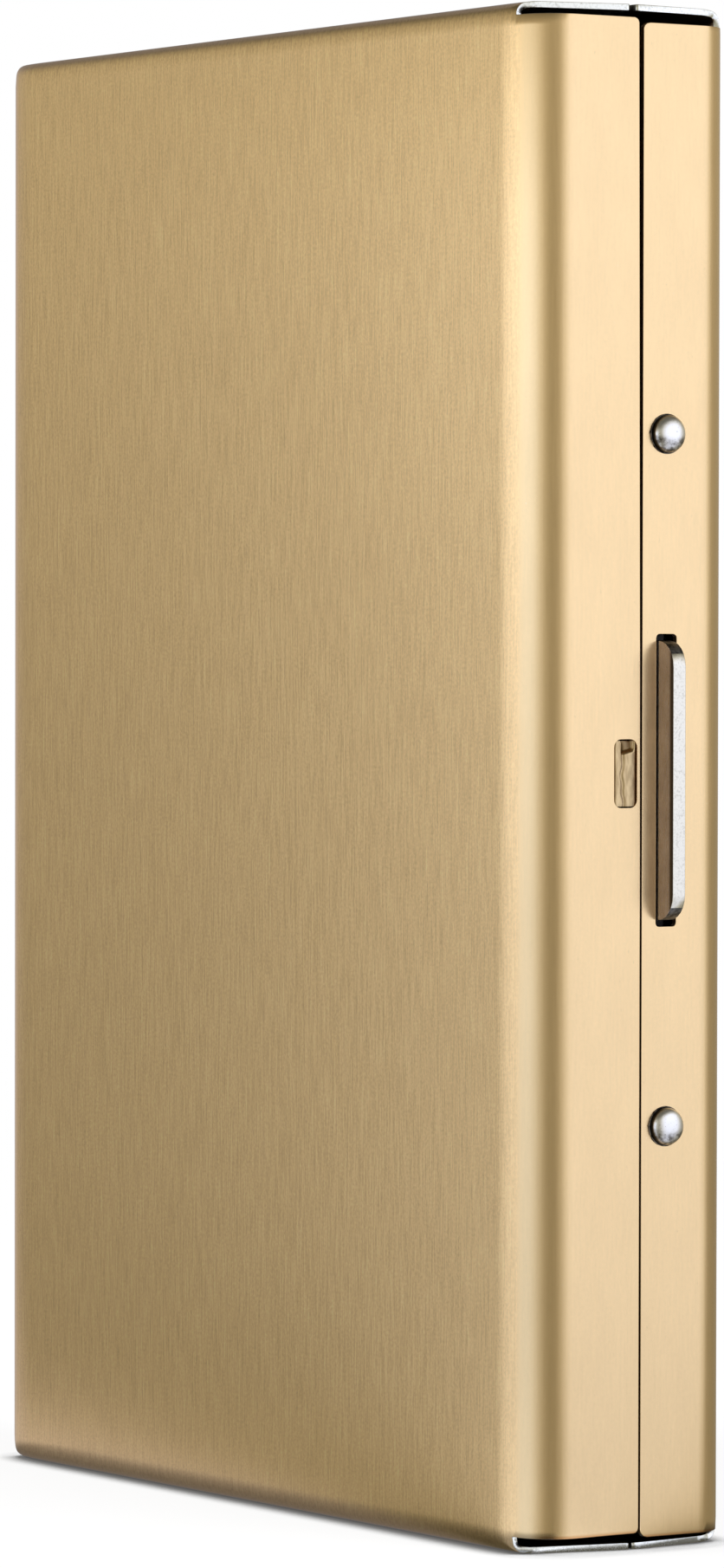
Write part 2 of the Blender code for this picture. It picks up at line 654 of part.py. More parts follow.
def pleat(stations):
    """A folded strip along X: two legs down -Z from a mouth at z = 0 to a round fold.

    Each station is a place along X and the fold's depth there.
    """
    builder = bmesh.new()
    sections = []
    for along, depth in stations:
        points = [(PLEAT_HALF_MOUTH, 0)]
        for step in range(PLEAT_FOLD_STEPS + 1):
            angle = 2 * RIGHT_ANGLE * step / PLEAT_FOLD_STEPS
            drop = depth - PLEAT_FOLD_RADIUS + PLEAT_FOLD_RADIUS * math.sin(angle)
            points.append((PLEAT_FOLD_RADIUS * math.cos(angle), -drop))
        points.append((-PLEAT_HALF_MOUTH, 0))
        sections.append([builder.verts.new((along, y, z)) for y, z in points])
    for here, there in zip(sections, sections[1:]):
        for index in range(len(here) - 1):
            builder.faces.new((here[index], here[index + 1], there[index + 1], there[index]))
    return builder


def make_pleats(carriers):
    """For each pocket a fold at the spine and a gusset at each end, deeper towards the free edge."""
    gusset_start = LEAF_SPINE_X + SPINE_FOLD_DEPTH + GUSSET_START_GAP
    gusset_end = LEAF_FREE_X - GUSSET_FREE_MARGIN - LEAF_CORNER_RADIUS
    gusset = ((gusset_start, GUSSET_SPINE_DEPTH), (gusset_end, GUSSET_FREE_DEPTH))
    half_leaf = HALF_HEIGHT - LEAF_END_MARGIN
    for pocket in range(1, POCKET_COUNT + 1):
        carrier, offset = carriers[pocket]
        middle_y = (leaf_y(pocket - 1) + leaf_y(pocket)) / 2 - offset[1]
        places = (
            (f"gusset_top_{pocket}", gusset, (-offset[0], middle_y, HALF_HEIGHT + half_leaf), (0, 0, 0)),
            (
                f"gusset_bottom_{pocket}",
                tuple((-along, depth) for along, depth in gusset),
                (-offset[0], middle_y, HALF_HEIGHT - half_leaf),
                (0, 2 * RIGHT_ANGLE, 0),
            ),
            (
                f"spine_fold_{pocket}",
                ((-half_leaf, SPINE_FOLD_DEPTH), (half_leaf, SPINE_FOLD_DEPTH)),
                (LEAF_SPINE_X + SPINE_FOLD_DEPTH - offset[0], middle_y, HALF_HEIGHT),
                (0, RIGHT_ANGLE, 0),
            ),
        )
        for name, stations, place, rotation in places:
            strip = add_piece(name, pleat(stations), CLOTH_BLACK, carrier, place, rotation)
            thicken(strip, PLEAT_CLOTH, 0)
            bake_smooth(strip)


def main():
    clear_scene()
    new_collection("card_holder")
    new_collection("cutters")
    root = axis_empty("case_centre", None, (-TAB_REACH / 2, 0, 0))
    hinge = axis_empty("cover_hinge_axis", root, (HINGE_X, PARTING_Y, 0))
    on_case = (root, (0, 0))
    carriers = [on_case]
    for index in range(1, POCKET_COUNT + 1):
        parent = carriers[-1][0]
        place = (HINGE_X, PARTING_Y, 0) if index == 1 else (0, 0, 0)
        carriers.append((axis_empty(f"leaf_{index}_axis", parent, place), (HINGE_X, PARTING_Y)))
    make_front_cover(hinge)
    make_rear_cover(root)
    make_hinge_pin(root)
    make_rivets(root)
    make_latch_plate(root)
    make_latch_spring(root)
    make_leaves(carriers)
    make_pleats(carriers)


main()
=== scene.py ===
"""A slim metal card holder on a pale floor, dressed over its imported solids.

The covers, the hinge pin, the rivets and the latch plate are smoothed copies of their solids with
eased edges. The latch spring is cut into two bending halves. The leaves, the pleats, the catch's
face and the crushed lips under the rivets are pieces of their own. Lengths are in metres, +Z is up,
the front cover faces -Y and the latch is on the +X side.
"""

import math

import bmesh
import bpy
from mathutils import Matrix, Vector
from mathutils.bvhtree import BVHTree


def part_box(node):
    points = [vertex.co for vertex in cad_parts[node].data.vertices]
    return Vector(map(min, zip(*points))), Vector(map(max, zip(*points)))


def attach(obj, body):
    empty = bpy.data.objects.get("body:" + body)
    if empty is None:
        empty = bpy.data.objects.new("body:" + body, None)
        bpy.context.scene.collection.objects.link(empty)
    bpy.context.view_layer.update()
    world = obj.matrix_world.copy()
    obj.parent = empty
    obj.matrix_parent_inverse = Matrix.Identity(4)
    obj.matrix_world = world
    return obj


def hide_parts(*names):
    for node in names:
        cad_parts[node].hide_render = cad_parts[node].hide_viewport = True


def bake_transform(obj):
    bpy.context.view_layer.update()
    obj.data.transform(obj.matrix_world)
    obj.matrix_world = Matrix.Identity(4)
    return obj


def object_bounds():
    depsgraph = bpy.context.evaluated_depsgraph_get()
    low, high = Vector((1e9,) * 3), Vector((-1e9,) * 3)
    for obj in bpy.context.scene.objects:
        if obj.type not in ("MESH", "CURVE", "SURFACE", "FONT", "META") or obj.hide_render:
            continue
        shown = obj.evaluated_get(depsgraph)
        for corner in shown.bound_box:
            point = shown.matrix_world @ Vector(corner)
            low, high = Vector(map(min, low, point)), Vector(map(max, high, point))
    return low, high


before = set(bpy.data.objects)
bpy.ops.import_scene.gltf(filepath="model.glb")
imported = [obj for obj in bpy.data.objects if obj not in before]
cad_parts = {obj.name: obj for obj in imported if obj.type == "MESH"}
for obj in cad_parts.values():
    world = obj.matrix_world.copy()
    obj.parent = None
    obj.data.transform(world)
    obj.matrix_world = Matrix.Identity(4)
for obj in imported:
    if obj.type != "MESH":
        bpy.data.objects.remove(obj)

CAD_LOW, CAD_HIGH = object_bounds()

bl_info = {
    "name": "Card holder",
    "version": (1, 0, 0),
    "blender": (4, 5, 0),
    "location": "3D View > Sidebar > Card holder",
    "description": "Dresses a slim metal card holder and lays out its stage",
    "category": "Object",
}

MM = 0.001
WELD = 0.001 * MM
SHARP = math.radians(28)
FLOOR_GAP = 0.02 * MM
WHITE = (1.0, 1.0, 1.0, 1.0)
LAMPS = {"lamp_left": (-0.5, -1.2, 0.9), "lamp_right": (1.2, 0.3, 0.9)}
RIVETS = ("rivet_upper", "rivet_lower")
LEAF_COUNT = 7
BODIES = ["rear"] + [f"leaf_{index}_body" for index in range(1, LEAF_COUNT)]


# Settings


class StageSettings(bpy.types.PropertyGroup):
    """Where the camera stands and how the studio is lit."""

    camera_distance: bpy.props.FloatProperty(
        name="Camera distance", description="From the middle of the case, along the floor", default=0.46848,
        unit="LENGTH",
    )
    camera_bearing: bpy.props.FloatProperty(
        name="Camera bearing", description="Turn from the front view towards the latch side",
        default=math.radians(57.03), subtype="ANGLE",
    )
    camera_height: bpy.props.FloatProperty(
        name="Camera height", description="Above the floor", default=0.05702, unit="LENGTH"
    )
    camera_yaw: bpy.props.FloatProperty(
        name="Camera yaw", description="Turn away from the middle of the case",
        default=math.radians(-0.0978), subtype="ANGLE",
    )
    camera_pitch: bpy.props.FloatProperty(
        name="Camera pitch", description="Downward tilt", default=math.radians(1.2816), subtype="ANGLE"
    )
    camera_roll: bpy.props.FloatProperty(
        name="Camera roll", description="Turn about the line of sight", default=math.radians(0.1102),
        subtype="ANGLE",
    )
    lens: bpy.props.FloatProperty(name="Lens", description="Focal length", default=165.15, unit="CAMERA")
    face_window: bpy.props.FloatProperty(
        name="Face window", description="Brightness of the soft window that the front face mirrors",
        default=1.64,
    )
    side_window: bpy.props.FloatProperty(
        name="Side window", description="Brightness of the soft window that the latch side mirrors",
        default=1.225,
    )
    surround_level: bpy.props.FloatProperty(
        name="Surround level", description="Brightness of the grey tent round the case", default=0.45
    )
    ambient: bpy.props.FloatProperty(
        name="Ambient", description="Level of the light from all round on matt surfaces", default=0.5
    )
    lamp_power: bpy.props.FloatProperty(
        name="Lamp power", description="Power of each soft lamp", default=16.0, unit="POWER"
    )
    lamp_size: bpy.props.FloatProperty(
        name="Lamp size", description="Width of each soft lamp", default=0.8, unit="LENGTH"
    )
    backdrop_level: bpy.props.FloatProperty(
        name="Backdrop level", description="Brightness of the backdrop behind the case, in its rims",
        default=0.5,
    )
    tent_radius: bpy.props.FloatProperty(
        name="Tent radius", description="From the case to the tent's wall", default=0.25, unit="LENGTH"
    )
    shadow_reach: bpy.props.FloatProperty(
        name="Shadow reach", description="How far the dark under the case spreads",
        default=2.5 * MM, unit="LENGTH",
    )
    floor_size: bpy.props.FloatProperty(
        name="Floor size", description="Side of the floor", default=8.0, unit="LENGTH"
    )
    floor_colour: bpy.props.FloatVectorProperty(
        name="Floor colour", description="Pale floor", default=(0.96, 0.96, 0.965), subtype="COLOR"
    )


class MetalSettings(bpy.types.PropertyGroup):
    """Colours and brushing of the metal."""

    gold: bpy.props.FloatVectorProperty(
        name="Gold", description="Colour of the covers", default=(0.95, 0.66, 0.335), subtype="COLOR"
    )
    gold_roughness: bpy.props.FloatProperty(
        name="Gold roughness", description="Roughness of the brushed covers", default=0.225
    )
    brushing: bpy.props.FloatProperty(
        name="Brushing", description="How far the brushing stretches a highlight", default=0.68
    )
    line_spacing: bpy.props.FloatProperty(
        name="Line spacing", description="Width of a brushed line", default=0.085 * MM, unit="LENGTH"
    )
    line_length: bpy.props.FloatProperty(
        name="Line length", description="Length of a brushed line", default=4 * MM, unit="LENGTH"
    )
    band_spacing: bpy.props.FloatProperty(
        name="Band spacing", description="Width of the wider bands of brushing",
        default=0.16 * MM, unit="LENGTH",
    )
    band_length: bpy.props.FloatProperty(
        name="Band length", description="Length of the wider bands of brushing",
        default=2.4 * MM, unit="LENGTH",
    )
    sheet: bpy.props.FloatProperty(
        name="Sheet", description="Thickness of the covers' sheet", default=0.4 * MM, unit="LENGTH"
    )
    cover_easing: bpy.props.FloatProperty(
        name="Cover edge easing", description="Width by which the covers' cut edges are rounded",
        default=0.07 * MM, unit="LENGTH",
    )
    plate_easing: bpy.props.FloatProperty(
        name="Plate edge easing", description="Width by which the latch plate's edges are rounded",
        default=0.06 * MM, unit="LENGTH",
    )
    tab_reach: bpy.props.FloatProperty(
        name="Tab reach", description="How far the push tab stands out of the wall", default=1.65 * MM,
        unit="LENGTH",
    )
    spring_thickness: bpy.props.FloatProperty(
        name="Spring thickness", description="Thickness of the spring strip",
        default=0.3 * MM, unit="LENGTH",
    )
    spring_plateau: bpy.props.FloatProperty(
        name="Spring plateau", description="Straight middle of the spring, behind the latch's foot",
        default=23.0 * MM, unit="LENGTH",
    )
    spring_slope: bpy.props.FloatProperty(
        name="Spring slope", description="Height over which the spring is set inwards", default=5.5 * MM,
        unit="LENGTH",
    )
    spring_steps: bpy.props.IntProperty(
        name="Spring steps", description="Cuts across each slope of the spring", default=12
    )
    steel: bpy.props.FloatVectorProperty(
        name="Steel", description="Colour of bare steel", default=(0.7, 0.64, 0.72), subtype="COLOR"
    )
    plate_edge: bpy.props.FloatVectorProperty(
        name="Plate edge", description="Colour of the push tab's sheared edge", default=(0.86, 0.78, 0.63),
        subtype="COLOR",
    )
    sheet_edge: bpy.props.FloatVectorProperty(
        name="Sheet edge", description="Colour of the flaps' sheared edges", default=(1.0, 0.96, 0.85),
        subtype="COLOR",
    )
    steel_roughness: bpy.props.FloatProperty(
        name="Steel roughness", description="Roughness of the latch and the rivets", default=0.24
    )
    flap_zone: bpy.props.FloatProperty(
        name="Flap zone", description="Height of the end bends, where the sheet's cut edge is bare",
        default=1.1 * MM, unit="LENGTH",
    )
    front_foot: bpy.props.FloatProperty(
        name="Front foot", description="Height at which the front cover's wall ends above the floor",
        default=1.07 * MM, unit="LENGTH",
    )
    rear_foot: bpy.props.FloatProperty(
        name="Rear foot", description="Height at which the rear cover's wall ends above the floor",
        default=0.79 * MM, unit="LENGTH",
    )
    catch_rise: bpy.props.FloatProperty(
        name="Catch rise", description="Unit height of the catch's relief", default=0.18 * MM, unit="LENGTH"
    )
    catch_brim: bpy.props.FloatProperty(
        name="Catch brim", description="Width of the catch's turned down border",
        default=0.09 * MM, unit="LENGTH",
    )
    catch_corner: bpy.props.FloatProperty(
        name="Catch corner", description="Radius of the catch's corners", default=0.42 * MM, unit="LENGTH"
    )
    catch_length: bpy.props.FloatProperty(
        name="Catch length", description="Height of the catch in its slot", default=4.17 * MM, unit="LENGTH"
    )
    catch_width: bpy.props.FloatProperty(
        name="Catch width", description="Width of the catch in its slot", default=1.67 * MM, unit="LENGTH"
    )
    catch_across: bpy.props.FloatProperty(
        name="Catch across", default=-0.91 * MM, unit="LENGTH",
        description="Middle of the catch's slot, from the case's middle towards the rear",
    )
    catch_height: bpy.props.FloatProperty(
        name="Catch height", description="Middle of the catch's slot above the case's foot",
        default=47.82 * MM,
        unit="LENGTH",
    )
    burr_reach: bpy.props.FloatProperty(
        name="Burr reach", description="How far the crushed lip stands out under a rivet's head",
        default=0.18 * MM, unit="LENGTH",
    )


class SleeveSettings(bpy.types.PropertyGroup):
    """Sizes and colours of the pleated sleeve."""

    leaf_colour: bpy.props.FloatVectorProperty(
        name="Leaf colour", description="Black board of the leaves",
        default=(0.018, 0.018, 0.02), subtype="COLOR",
    )
    cloth_colour: bpy.props.FloatVectorProperty(
        name="Cloth colour", description="Black cloth of the pleats", default=(0.014, 0.014, 0.016),
        subtype="COLOR",
    )
    leaf_corner: bpy.props.FloatProperty(
        name="Leaf corner", description="Radius of the leaves' free corners",
        default=5.0 * MM, unit="LENGTH",
    )
    spine_corner: bpy.props.FloatProperty(
        name="Spine corner", description="Radius of the leaves' corners at the spine", default=0.4 * MM,
        unit="LENGTH",
    )
    corner_steps: bpy.props.IntProperty(
        name="Corner steps", description="Steps round a leaf's corner", default=12
    )
    leaf_easing: bpy.props.FloatProperty(
        name="Leaf edge easing", description="Width of a leaf's rounded edge",
        default=0.16 * MM, unit="LENGTH",
    )
    leaf_border: bpy.props.FloatProperty(
        name="Leaf border", description="From a leaf's edge to its pressed line",
        default=1.6 * MM, unit="LENGTH",
    )
    border_line: bpy.props.FloatProperty(
        name="Border line", description="Width of the pressed line", default=0.3 * MM, unit="LENGTH"
    )
    line_depth: bpy.props.FloatProperty(
        name="Line depth", description="Depth of the pressed line", default=0.05 * MM, unit="LENGTH"
    )
    thread_pitch: bpy.props.FloatProperty(
        name="Thread pitch", description="From one thread of the cloth to the next",
        default=0.34 * MM, unit="LENGTH",
    )
    cloth_thickness: bpy.props.FloatProperty(
        name="Cloth thickness", description="Thickness of the pleats' cloth",
        default=0.2 * MM, unit="LENGTH",
    )
    cloth_clearance: bpy.props.FloatProperty(
        name="Cloth clearance", description="From a leaf to the cloth on it",
        default=0.02 * MM, unit="LENGTH",
    )
    cloth_wave: bpy.props.FloatProperty(
        name="Cloth wave", description="How far the folds wander", default=0.03 * MM, unit="LENGTH"
    )
    fold_radius: bpy.props.FloatProperty(
        name="Fold radius", description="Radius of the cloth's folds", default=0.25 * MM, unit="LENGTH"
    )
    gusset_shallow: bpy.props.FloatProperty(
        name="Gusset start", description="Depth of a gusset near the spine", default=1.6 * MM, unit="LENGTH"
    )
    leg_steps: bpy.props.IntProperty(name="Leg steps", description="Steps down a fold's leg", default=5)
    fold_steps: bpy.props.IntProperty(name="Fold steps", description="Steps round a fold", default=8)
    gusset_steps: bpy.props.IntProperty(name="Gusset steps", description="Steps along a gusset", default=24)
    spine_steps: bpy.props.IntProperty(name="Spine steps", description="Steps along a spine fold", default=36)


# Node trees


def new_material(name):
    """A material with an empty tree. Returns the material and its tree."""
    made = bpy.data.materials.new(name)
    made.use_nodes = True
    made.node_tree.nodes.clear()
    return made, made.node_tree


def add(tree, kind, inputs=None, **settings):
    """A node with its settings. A value of inputs is a number, a colour or another node's output."""
    made = tree.nodes.new(kind)
    for name, value in settings.items():
        setattr(made, name, value)
    for name, value in (inputs or {}).items():
        socket = made.inputs[name]
        if isinstance(value, bpy.types.NodeSocket):
            tree.links.new(value, socket)
        else:
            socket.default_value = value
    return made


def maths(tree, operation, *values, clamp=False):
    """The output of one step of arithmetic."""
    inputs = dict(enumerate(values))
    return add(tree, "ShaderNodeMath", inputs, operation=operation, use_clamp=clamp).outputs[0]


def ramp(tree, value, low, high, out_low=0.0, out_high=1.0, smooth=True):
    """Out low below low, out high above high, and a smooth change between them."""
    kind = "SMOOTHSTEP" if smooth else "LINEAR"
    inputs = {"Value": value, "From Min": low, "From Max": high, "To Min": out_low, "To Max": out_high}
    return add(tree, "ShaderNodeMapRange", inputs, interpolation_type=kind).outputs[0]


def mix_colour(tree, factor, first, second, blend="MIX"):
    """The first colour where the factor is 0, the second where it is 1."""
    made = add(tree, "ShaderNodeMix", data_type="RGBA", blend_type=blend)
    for socket, value in ((made.inputs[0], factor), (made.inputs[6], first), (made.inputs[7], second)):
        if isinstance(value, bpy.types.NodeSocket):
            tree.links.new(value, socket)
        else:
            socket.default_value = value
    return made.outputs[2]


def mix_value(tree, factor, first, second):
    """The first number where the factor is 0, the second where it is 1."""
    return add(tree, "ShaderNodeMix", {0: factor, 2: first, 3: second}, data_type="FLOAT").outputs[0]


def vector_maths(tree, operation, *values):
    """The output of one step of arithmetic on vectors. A length comes out as a number."""
    outputs = add(tree, "ShaderNodeVectorMath", dict(enumerate(values)), operation=operation).outputs
    return outputs["Value" if operation == "LENGTH" else "Vector"]


def noise(tree, vector, scale, detail=2.0, roughness=0.5):
    """Noise from 0 to 1. The scale is in cells to a metre, or to a unit of stretched coordinates."""
    inputs = {"Vector": vector, "Scale": scale, "Detail": detail, "Roughness": roughness}
    return add(tree, "ShaderNodeTexNoise", inputs).outputs[0]


def stretched(tree, vector, spacings):
    """Coordinates in which a step of each spacing along its axis is one unit."""
    scale = tuple(1 / spacing for spacing in spacings)
    return add(tree, "ShaderNodeMapping", {"Vector": vector, "Scale": scale}).outputs[0]


def bump(tree, height, strength, distance):
    """A normal for a relief whose heights from 0 to 1 span the distance."""
    inputs = {"Height": height, "Strength": strength, "Distance": distance}
    return add(tree, "ShaderNodeBump", inputs).outputs[0]


def surface(tree, shader):
    """Puts a shader on the material's surface."""
    add(tree, "ShaderNodeOutputMaterial", {"Surface": shader})


def opaque(colour):
    """A colour with its alpha."""
    return (*colour, 1.0)


# Meshes


def add_mesh(name, builder, *materials):
    """An object with the builder's mesh. The builder is used up."""
    data = bpy.data.meshes.new(name)
    builder.to_mesh(data)
    builder.free()
    for made in materials:
        data.materials.append(made)
    made = bpy.data.objects.new(name, data)
    bpy.context.scene.collection.objects.link(made)
    return made


def bridge(builder, rows, closed=True):
    """Joins each row of points to the next by a band of faces, all the way round if it is closed."""
    for here, there in zip(rows, rows[1:]):
        for step in range(len(here) if closed else len(here) - 1):
            after = (step + 1) % len(here)
            builder.faces.new((here[step], here[after], there[after], there[step]))


def place_piece(piece, body, slot, *nodes):
    """Puts a piece on its body and hides the nodes that it stands for. The slot is not used."""
    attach(piece, body)
    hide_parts(*nodes)


def shade(piece, angle=SHARP):
    """Smooth over the bends, sharp at the corners, and flat in the middle of flat faces."""
    piece.data.shade_smooth()
    piece.data.set_sharp_from_angle(angle=angle)
    weighted = piece.modifiers.new("even shading", "WEIGHTED_NORMAL")
    weighted.keep_sharp = True
    weighted.weight = 100


def welded(node):
    """A bmesh of a CAD node with its triangles joined at their corners."""
    builder = bmesh.new()
    builder.from_mesh(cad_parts[node].data)
    bmesh.ops.remove_doubles(builder, verts=builder.verts, dist=WELD)
    for face in builder.faces:
        face.material_index = 0
    return builder


def mark_cut_edges(builder, sheet, flap_low, flap_high):
    """Sorts out the sheet's cut edges, which don't have its other side right behind them.

    On the flaps' sides they get the second material, on the flaps' tips the fourth, and along the
    walls the third.
    """
    tree = BVHTree.FromBMesh(builder)
    step_in = 0.02 * MM
    thinnest, thickest = 0.75 * sheet, 1.25 * sheet
    for face in builder.faces:
        inwards = -face.normal
        middle = face.calc_center_median()
        hit, normal, _, reach = tree.ray_cast(middle + inwards * step_in, inwards, 2 * sheet)
        if hit is not None and thinnest < reach < thickest and normal.dot(inwards) > 0.7:
            face.material_index = 0
        elif flap_low < middle.z < flap_high:
            face.material_index = 2
        else:
            face.material_index = 1 if abs(face.normal.x) > 0.5 else 3


def ease_edges(builder, width, segments=2, sharper=SHARP):
    """Joins the flat faces, then rounds every corner of the sheet by a small width."""
    bmesh.ops.dissolve_limit(
        builder, angle_limit=math.radians(0.05), verts=builder.verts, edges=builder.edges,
        delimit={"MATERIAL"},
    )
    corners = [edge for edge in builder.edges if edge.calc_face_angle(0.0) > sharper]
    bmesh.ops.bevel(
        builder, geom=corners, offset=width, segments=segments, profile=0.5, affect="EDGES",
        clamp_overlap=True, loop_slide=False, material=-1,
    )


# Metal


def brushed_lines(tree, position, normal, spacing, length):
    """Fine lines along the case's height, which turn with the sheet over its ends. 0 to 1."""
    upright = noise(tree, stretched(tree, position, (spacing, spacing, length)), 1.0, 3.0, 0.6)
    across = noise(tree, stretched(tree, position, (spacing, length, length)), 1.0, 3.0, 0.6)
    facing = add(tree, "ShaderNodeSeparateXYZ", {"Vector": normal}).outputs["Z"]
    on_end = ramp(tree, maths(tree, "ABSOLUTE", facing), 0.6, 0.8)
    return mix_value(tree, on_end, upright, across)


def metal(tree, colour, roughness, normal, brushing=0.0):
    """Bare or gilt metal. Upright brushing stretches its highlights round the case."""
    inputs = {
        "Base Color": colour,
        "Metallic": 1.0,
        "Roughness": roughness,
        "Normal": normal,
        "Anisotropic": brushing,
        "Tangent": add(tree, "ShaderNodeTangent", direction_type="RADIAL", axis="Z").outputs[0],
    }
    return add(tree, "ShaderNodeBsdfPrincipled", inputs).outputs[0]


def specks(tree, position, size, share=0.0):
    """Small scattered spots, 1 in a spot and 0 between them. A larger share makes them cover more."""
    grain = noise(tree, position, 1 / size, 2.0)
    return ramp(tree, grain, 0.74 - share, 0.8 - share)


def painted_foot_reflection(tree, position, side, settings):
    """1 along the lowest edge of the walls, which mirrors the case's own foot, and 0 above it. A painted
    reflection of that foot goes there.
    """
    place = add(tree, "ShaderNodeSeparateXYZ", {"Vector": position}).outputs
    end_height = ramp(tree, place["Y"], 0.1 * MM, 0.5 * MM, settings.front_foot, settings.rear_foot)
    above = maths(tree, "SUBTRACT", place["Z"], end_height)
    foot = ramp(tree, above, 0.03 * MM, 0.26 * MM, 1.0, 0.0)
    return maths(tree, "MULTIPLY", foot, ramp(tree, side, 0.5, 0.9))


def brushed_gold(settings):
    """Gold lacquer over fine brushing, with small bright and dark specks, and a painted reflection of the
    foot along the walls' lowest edge.
    """
    pale, brown, foot_reflection = (1.0, 0.9, 0.7), (0.5, 0.33, 0.17), (0.72, 0.38, 0.15)
    made, tree = new_material("brushed gold")
    coordinates = add(tree, "ShaderNodeTexCoord").outputs
    position = coordinates["Object"]
    facing = coordinates["Normal"]
    side = add(tree, "ShaderNodeSeparateXYZ", {"Vector": facing}).outputs["X"]
    lines = brushed_lines(tree, position, facing, settings.line_spacing, settings.line_length)
    bands = brushed_lines(tree, position, facing, settings.band_spacing, settings.band_length)
    grain = noise(tree, stretched(tree, position, (0.17 * MM, 0.17 * MM, 0.19 * MM)), 1.0, 2.0)
    cloud = noise(tree, stretched(tree, position, (2.0 * MM, 2.0 * MM, 5.0 * MM)), 1.0, 3.0)
    depth = 0.0
    for texture, weight in ((lines, 0.3), (bands, 0.46), (grain, 0.4)):
        depth = maths(tree, "MULTIPLY_ADD", maths(tree, "SUBTRACT", texture, 0.5), weight, depth)
    calm = ramp(tree, maths(tree, "ABSOLUTE", side), 0.02, 0.25, 1.0, 0.16)
    bright = maths(tree, "MULTIPLY_ADD", depth, calm, 1.0)
    bright = maths(tree, "MULTIPLY", bright, ramp(tree, cloud, 0.3, 0.7, 0.98, 1.015, False))
    tint = mix_colour(tree, 1.0, opaque(settings.gold), bright, "MULTIPLY")
    light = specks(tree, position, 0.22 * MM)
    dark = specks(tree, stretched(tree, position, (1.0, 0.6, 1.4)), 0.3 * MM)
    tint = mix_colour(tree, maths(tree, "MULTIPLY", light, 0.3), tint, opaque(pale))
    tint = mix_colour(tree, maths(tree, "MULTIPLY", dark, 0.25), tint, opaque(brown))
    # Painted reflection: a warm line along the walls' lowest edge, where they mirror the case's foot.
    tint = mix_colour(tree, painted_foot_reflection(tree, position, side, settings), tint, opaque(foot_reflection))
    smoothest = settings.gold_roughness - 0.03
    roughest = settings.gold_roughness + 0.03
    roughness = ramp(tree, lines, 0.2, 0.8, smoothest, roughest, False)
    normal = bump(tree, lines, 0.08, 0.02 * MM)
    surface(tree, metal(tree, tint, roughness, normal, settings.brushing))
    return made


def gilt_edge():
    """A cut edge that the gold has run over: darker and duller, with short marks of the shear."""
    dull, worn = (0.34, 0.2, 0.09), (0.66, 0.42, 0.2)
    made, tree = new_material("gilt cut edge")
    position = add(tree, "ShaderNodeTexCoord").outputs["Object"]
    marks = noise(tree, stretched(tree, position, (0.1 * MM, 0.1 * MM, 0.05 * MM)), 1.0, 3.0)
    colour = mix_colour(tree, ramp(tree, marks, 0.35, 0.65), opaque(dull), opaque(worn))
    normal = bump(tree, marks, 0.2, 0.03 * MM)
    surface(tree, metal(tree, colour, 0.38, normal))
    return made


def bare_edge(name, bright):
    """The sheared edge of the sheet and the plate: bright steel, stippled where the shear tore it."""
    dimmed = [part * 0.82 for part in bright]
    made, tree = new_material(name)
    position = add(tree, "ShaderNodeTexCoord").outputs["Object"]
    grain = noise(tree, position, 7000.0, 3.0, 0.6)
    patch = noise(tree, position, 1600.0, 2.0)
    patch = ramp(tree, patch, 0.3, 0.6, 0.25, 1.0)
    torn = maths(tree, "MULTIPLY", ramp(tree, grain, 0.48, 0.66), patch)
    colour = mix_colour(tree, torn, opaque(bright), opaque(dimmed))
    roughness = ramp(tree, torn, 0.0, 1.0, 0.22, 0.32, False)
    normal = bump(tree, grain, 0.2, 0.02 * MM)
    surface(tree, metal(tree, colour, roughness, normal))
    return made


def satin_steel(settings):
    """The plate's flat sides: fine upright grain, with painted glints, a painted highlight along the wall and
    painted shade at the rolled edge.
    """
    dull, glint, skin, wall_highlight = (0.54, 0.48, 0.54), (0.95, 0.9, 0.8), (0.09, 0.075, 0.07), (1.0, 0.93, 0.86)
    made, tree = new_material("satin steel")
    position = add(tree, "ShaderNodeTexCoord").outputs["Object"]
    grain = noise(tree, stretched(tree, position, (0.05 * MM, 0.05 * MM, 1.2 * MM)), 1.0, 3.0)
    cloud = noise(tree, position, 700.0, 2.0)
    streaks = ramp(tree, grain, 0.3, 0.7, -0.25, 0.25, False)
    tone = maths(tree, "ADD", streaks, ramp(tree, cloud, 0.3, 0.7, 0.2, 0.8))
    colour = mix_colour(tree, tone, opaque(dull), opaque(settings.steel))
    # Painted glints: small bright specks in the colour.
    colour = mix_colour(tree, specks(tree, position, 0.12 * MM), colour, opaque(glint))
    reach = add(tree, "ShaderNodeSeparateXYZ", {"Vector": position}).outputs["X"]
    # Painted shade: the side darkens towards the tab's rolled outer edge.
    rolled = ramp(tree, reach, CAD_HIGH.x - 0.5 * MM, CAD_HIGH.x - 0.22 * MM)
    colour = mix_colour(tree, rolled, colour, opaque(skin))
    # Painted highlight: a bright band just outside the wall.
    wall_x = CAD_HIGH.x - settings.tab_reach
    rise = ramp(tree, reach, wall_x - 0.02 * MM, wall_x + 0.04 * MM)
    fall = ramp(tree, reach, wall_x + 0.14 * MM, wall_x + 0.24 * MM)
    colour = mix_colour(tree, maths(tree, "SUBTRACT", rise, fall), colour, opaque(wall_highlight))
    roughness = ramp(tree, grain, 0.3, 0.7, settings.steel_roughness, settings.steel_roughness + 0.1)
    normal = bump(tree, grain, 0.1, 0.02 * MM)
    surface(tree, metal(tree, colour, roughness, normal, 0.3))
    return made


def dark_steel(name, first, second, roughness):
    """Dark steel mottled between two tones: mill skin on some parts, and painted shade on parts drawn dark
    because they lie in shadow.
    """
    made, tree = new_material(name)
    position = add(tree, "ShaderNodeTexCoord").outputs["Object"]
    mottle = noise(tree, position, 2200.0, 4.0, 0.65)
    colour = mix_colour(tree, ramp(tree, mottle, 0.4, 0.62), opaque(first), opaque(second))
    rough = ramp(tree, mottle, 0.3, 0.7, roughness, roughness + 0.15)
    normal = bump(tree, mottle, 0.35, 0.04 * MM)
    surface(tree, metal(tree, colour, rough, normal))
    return made


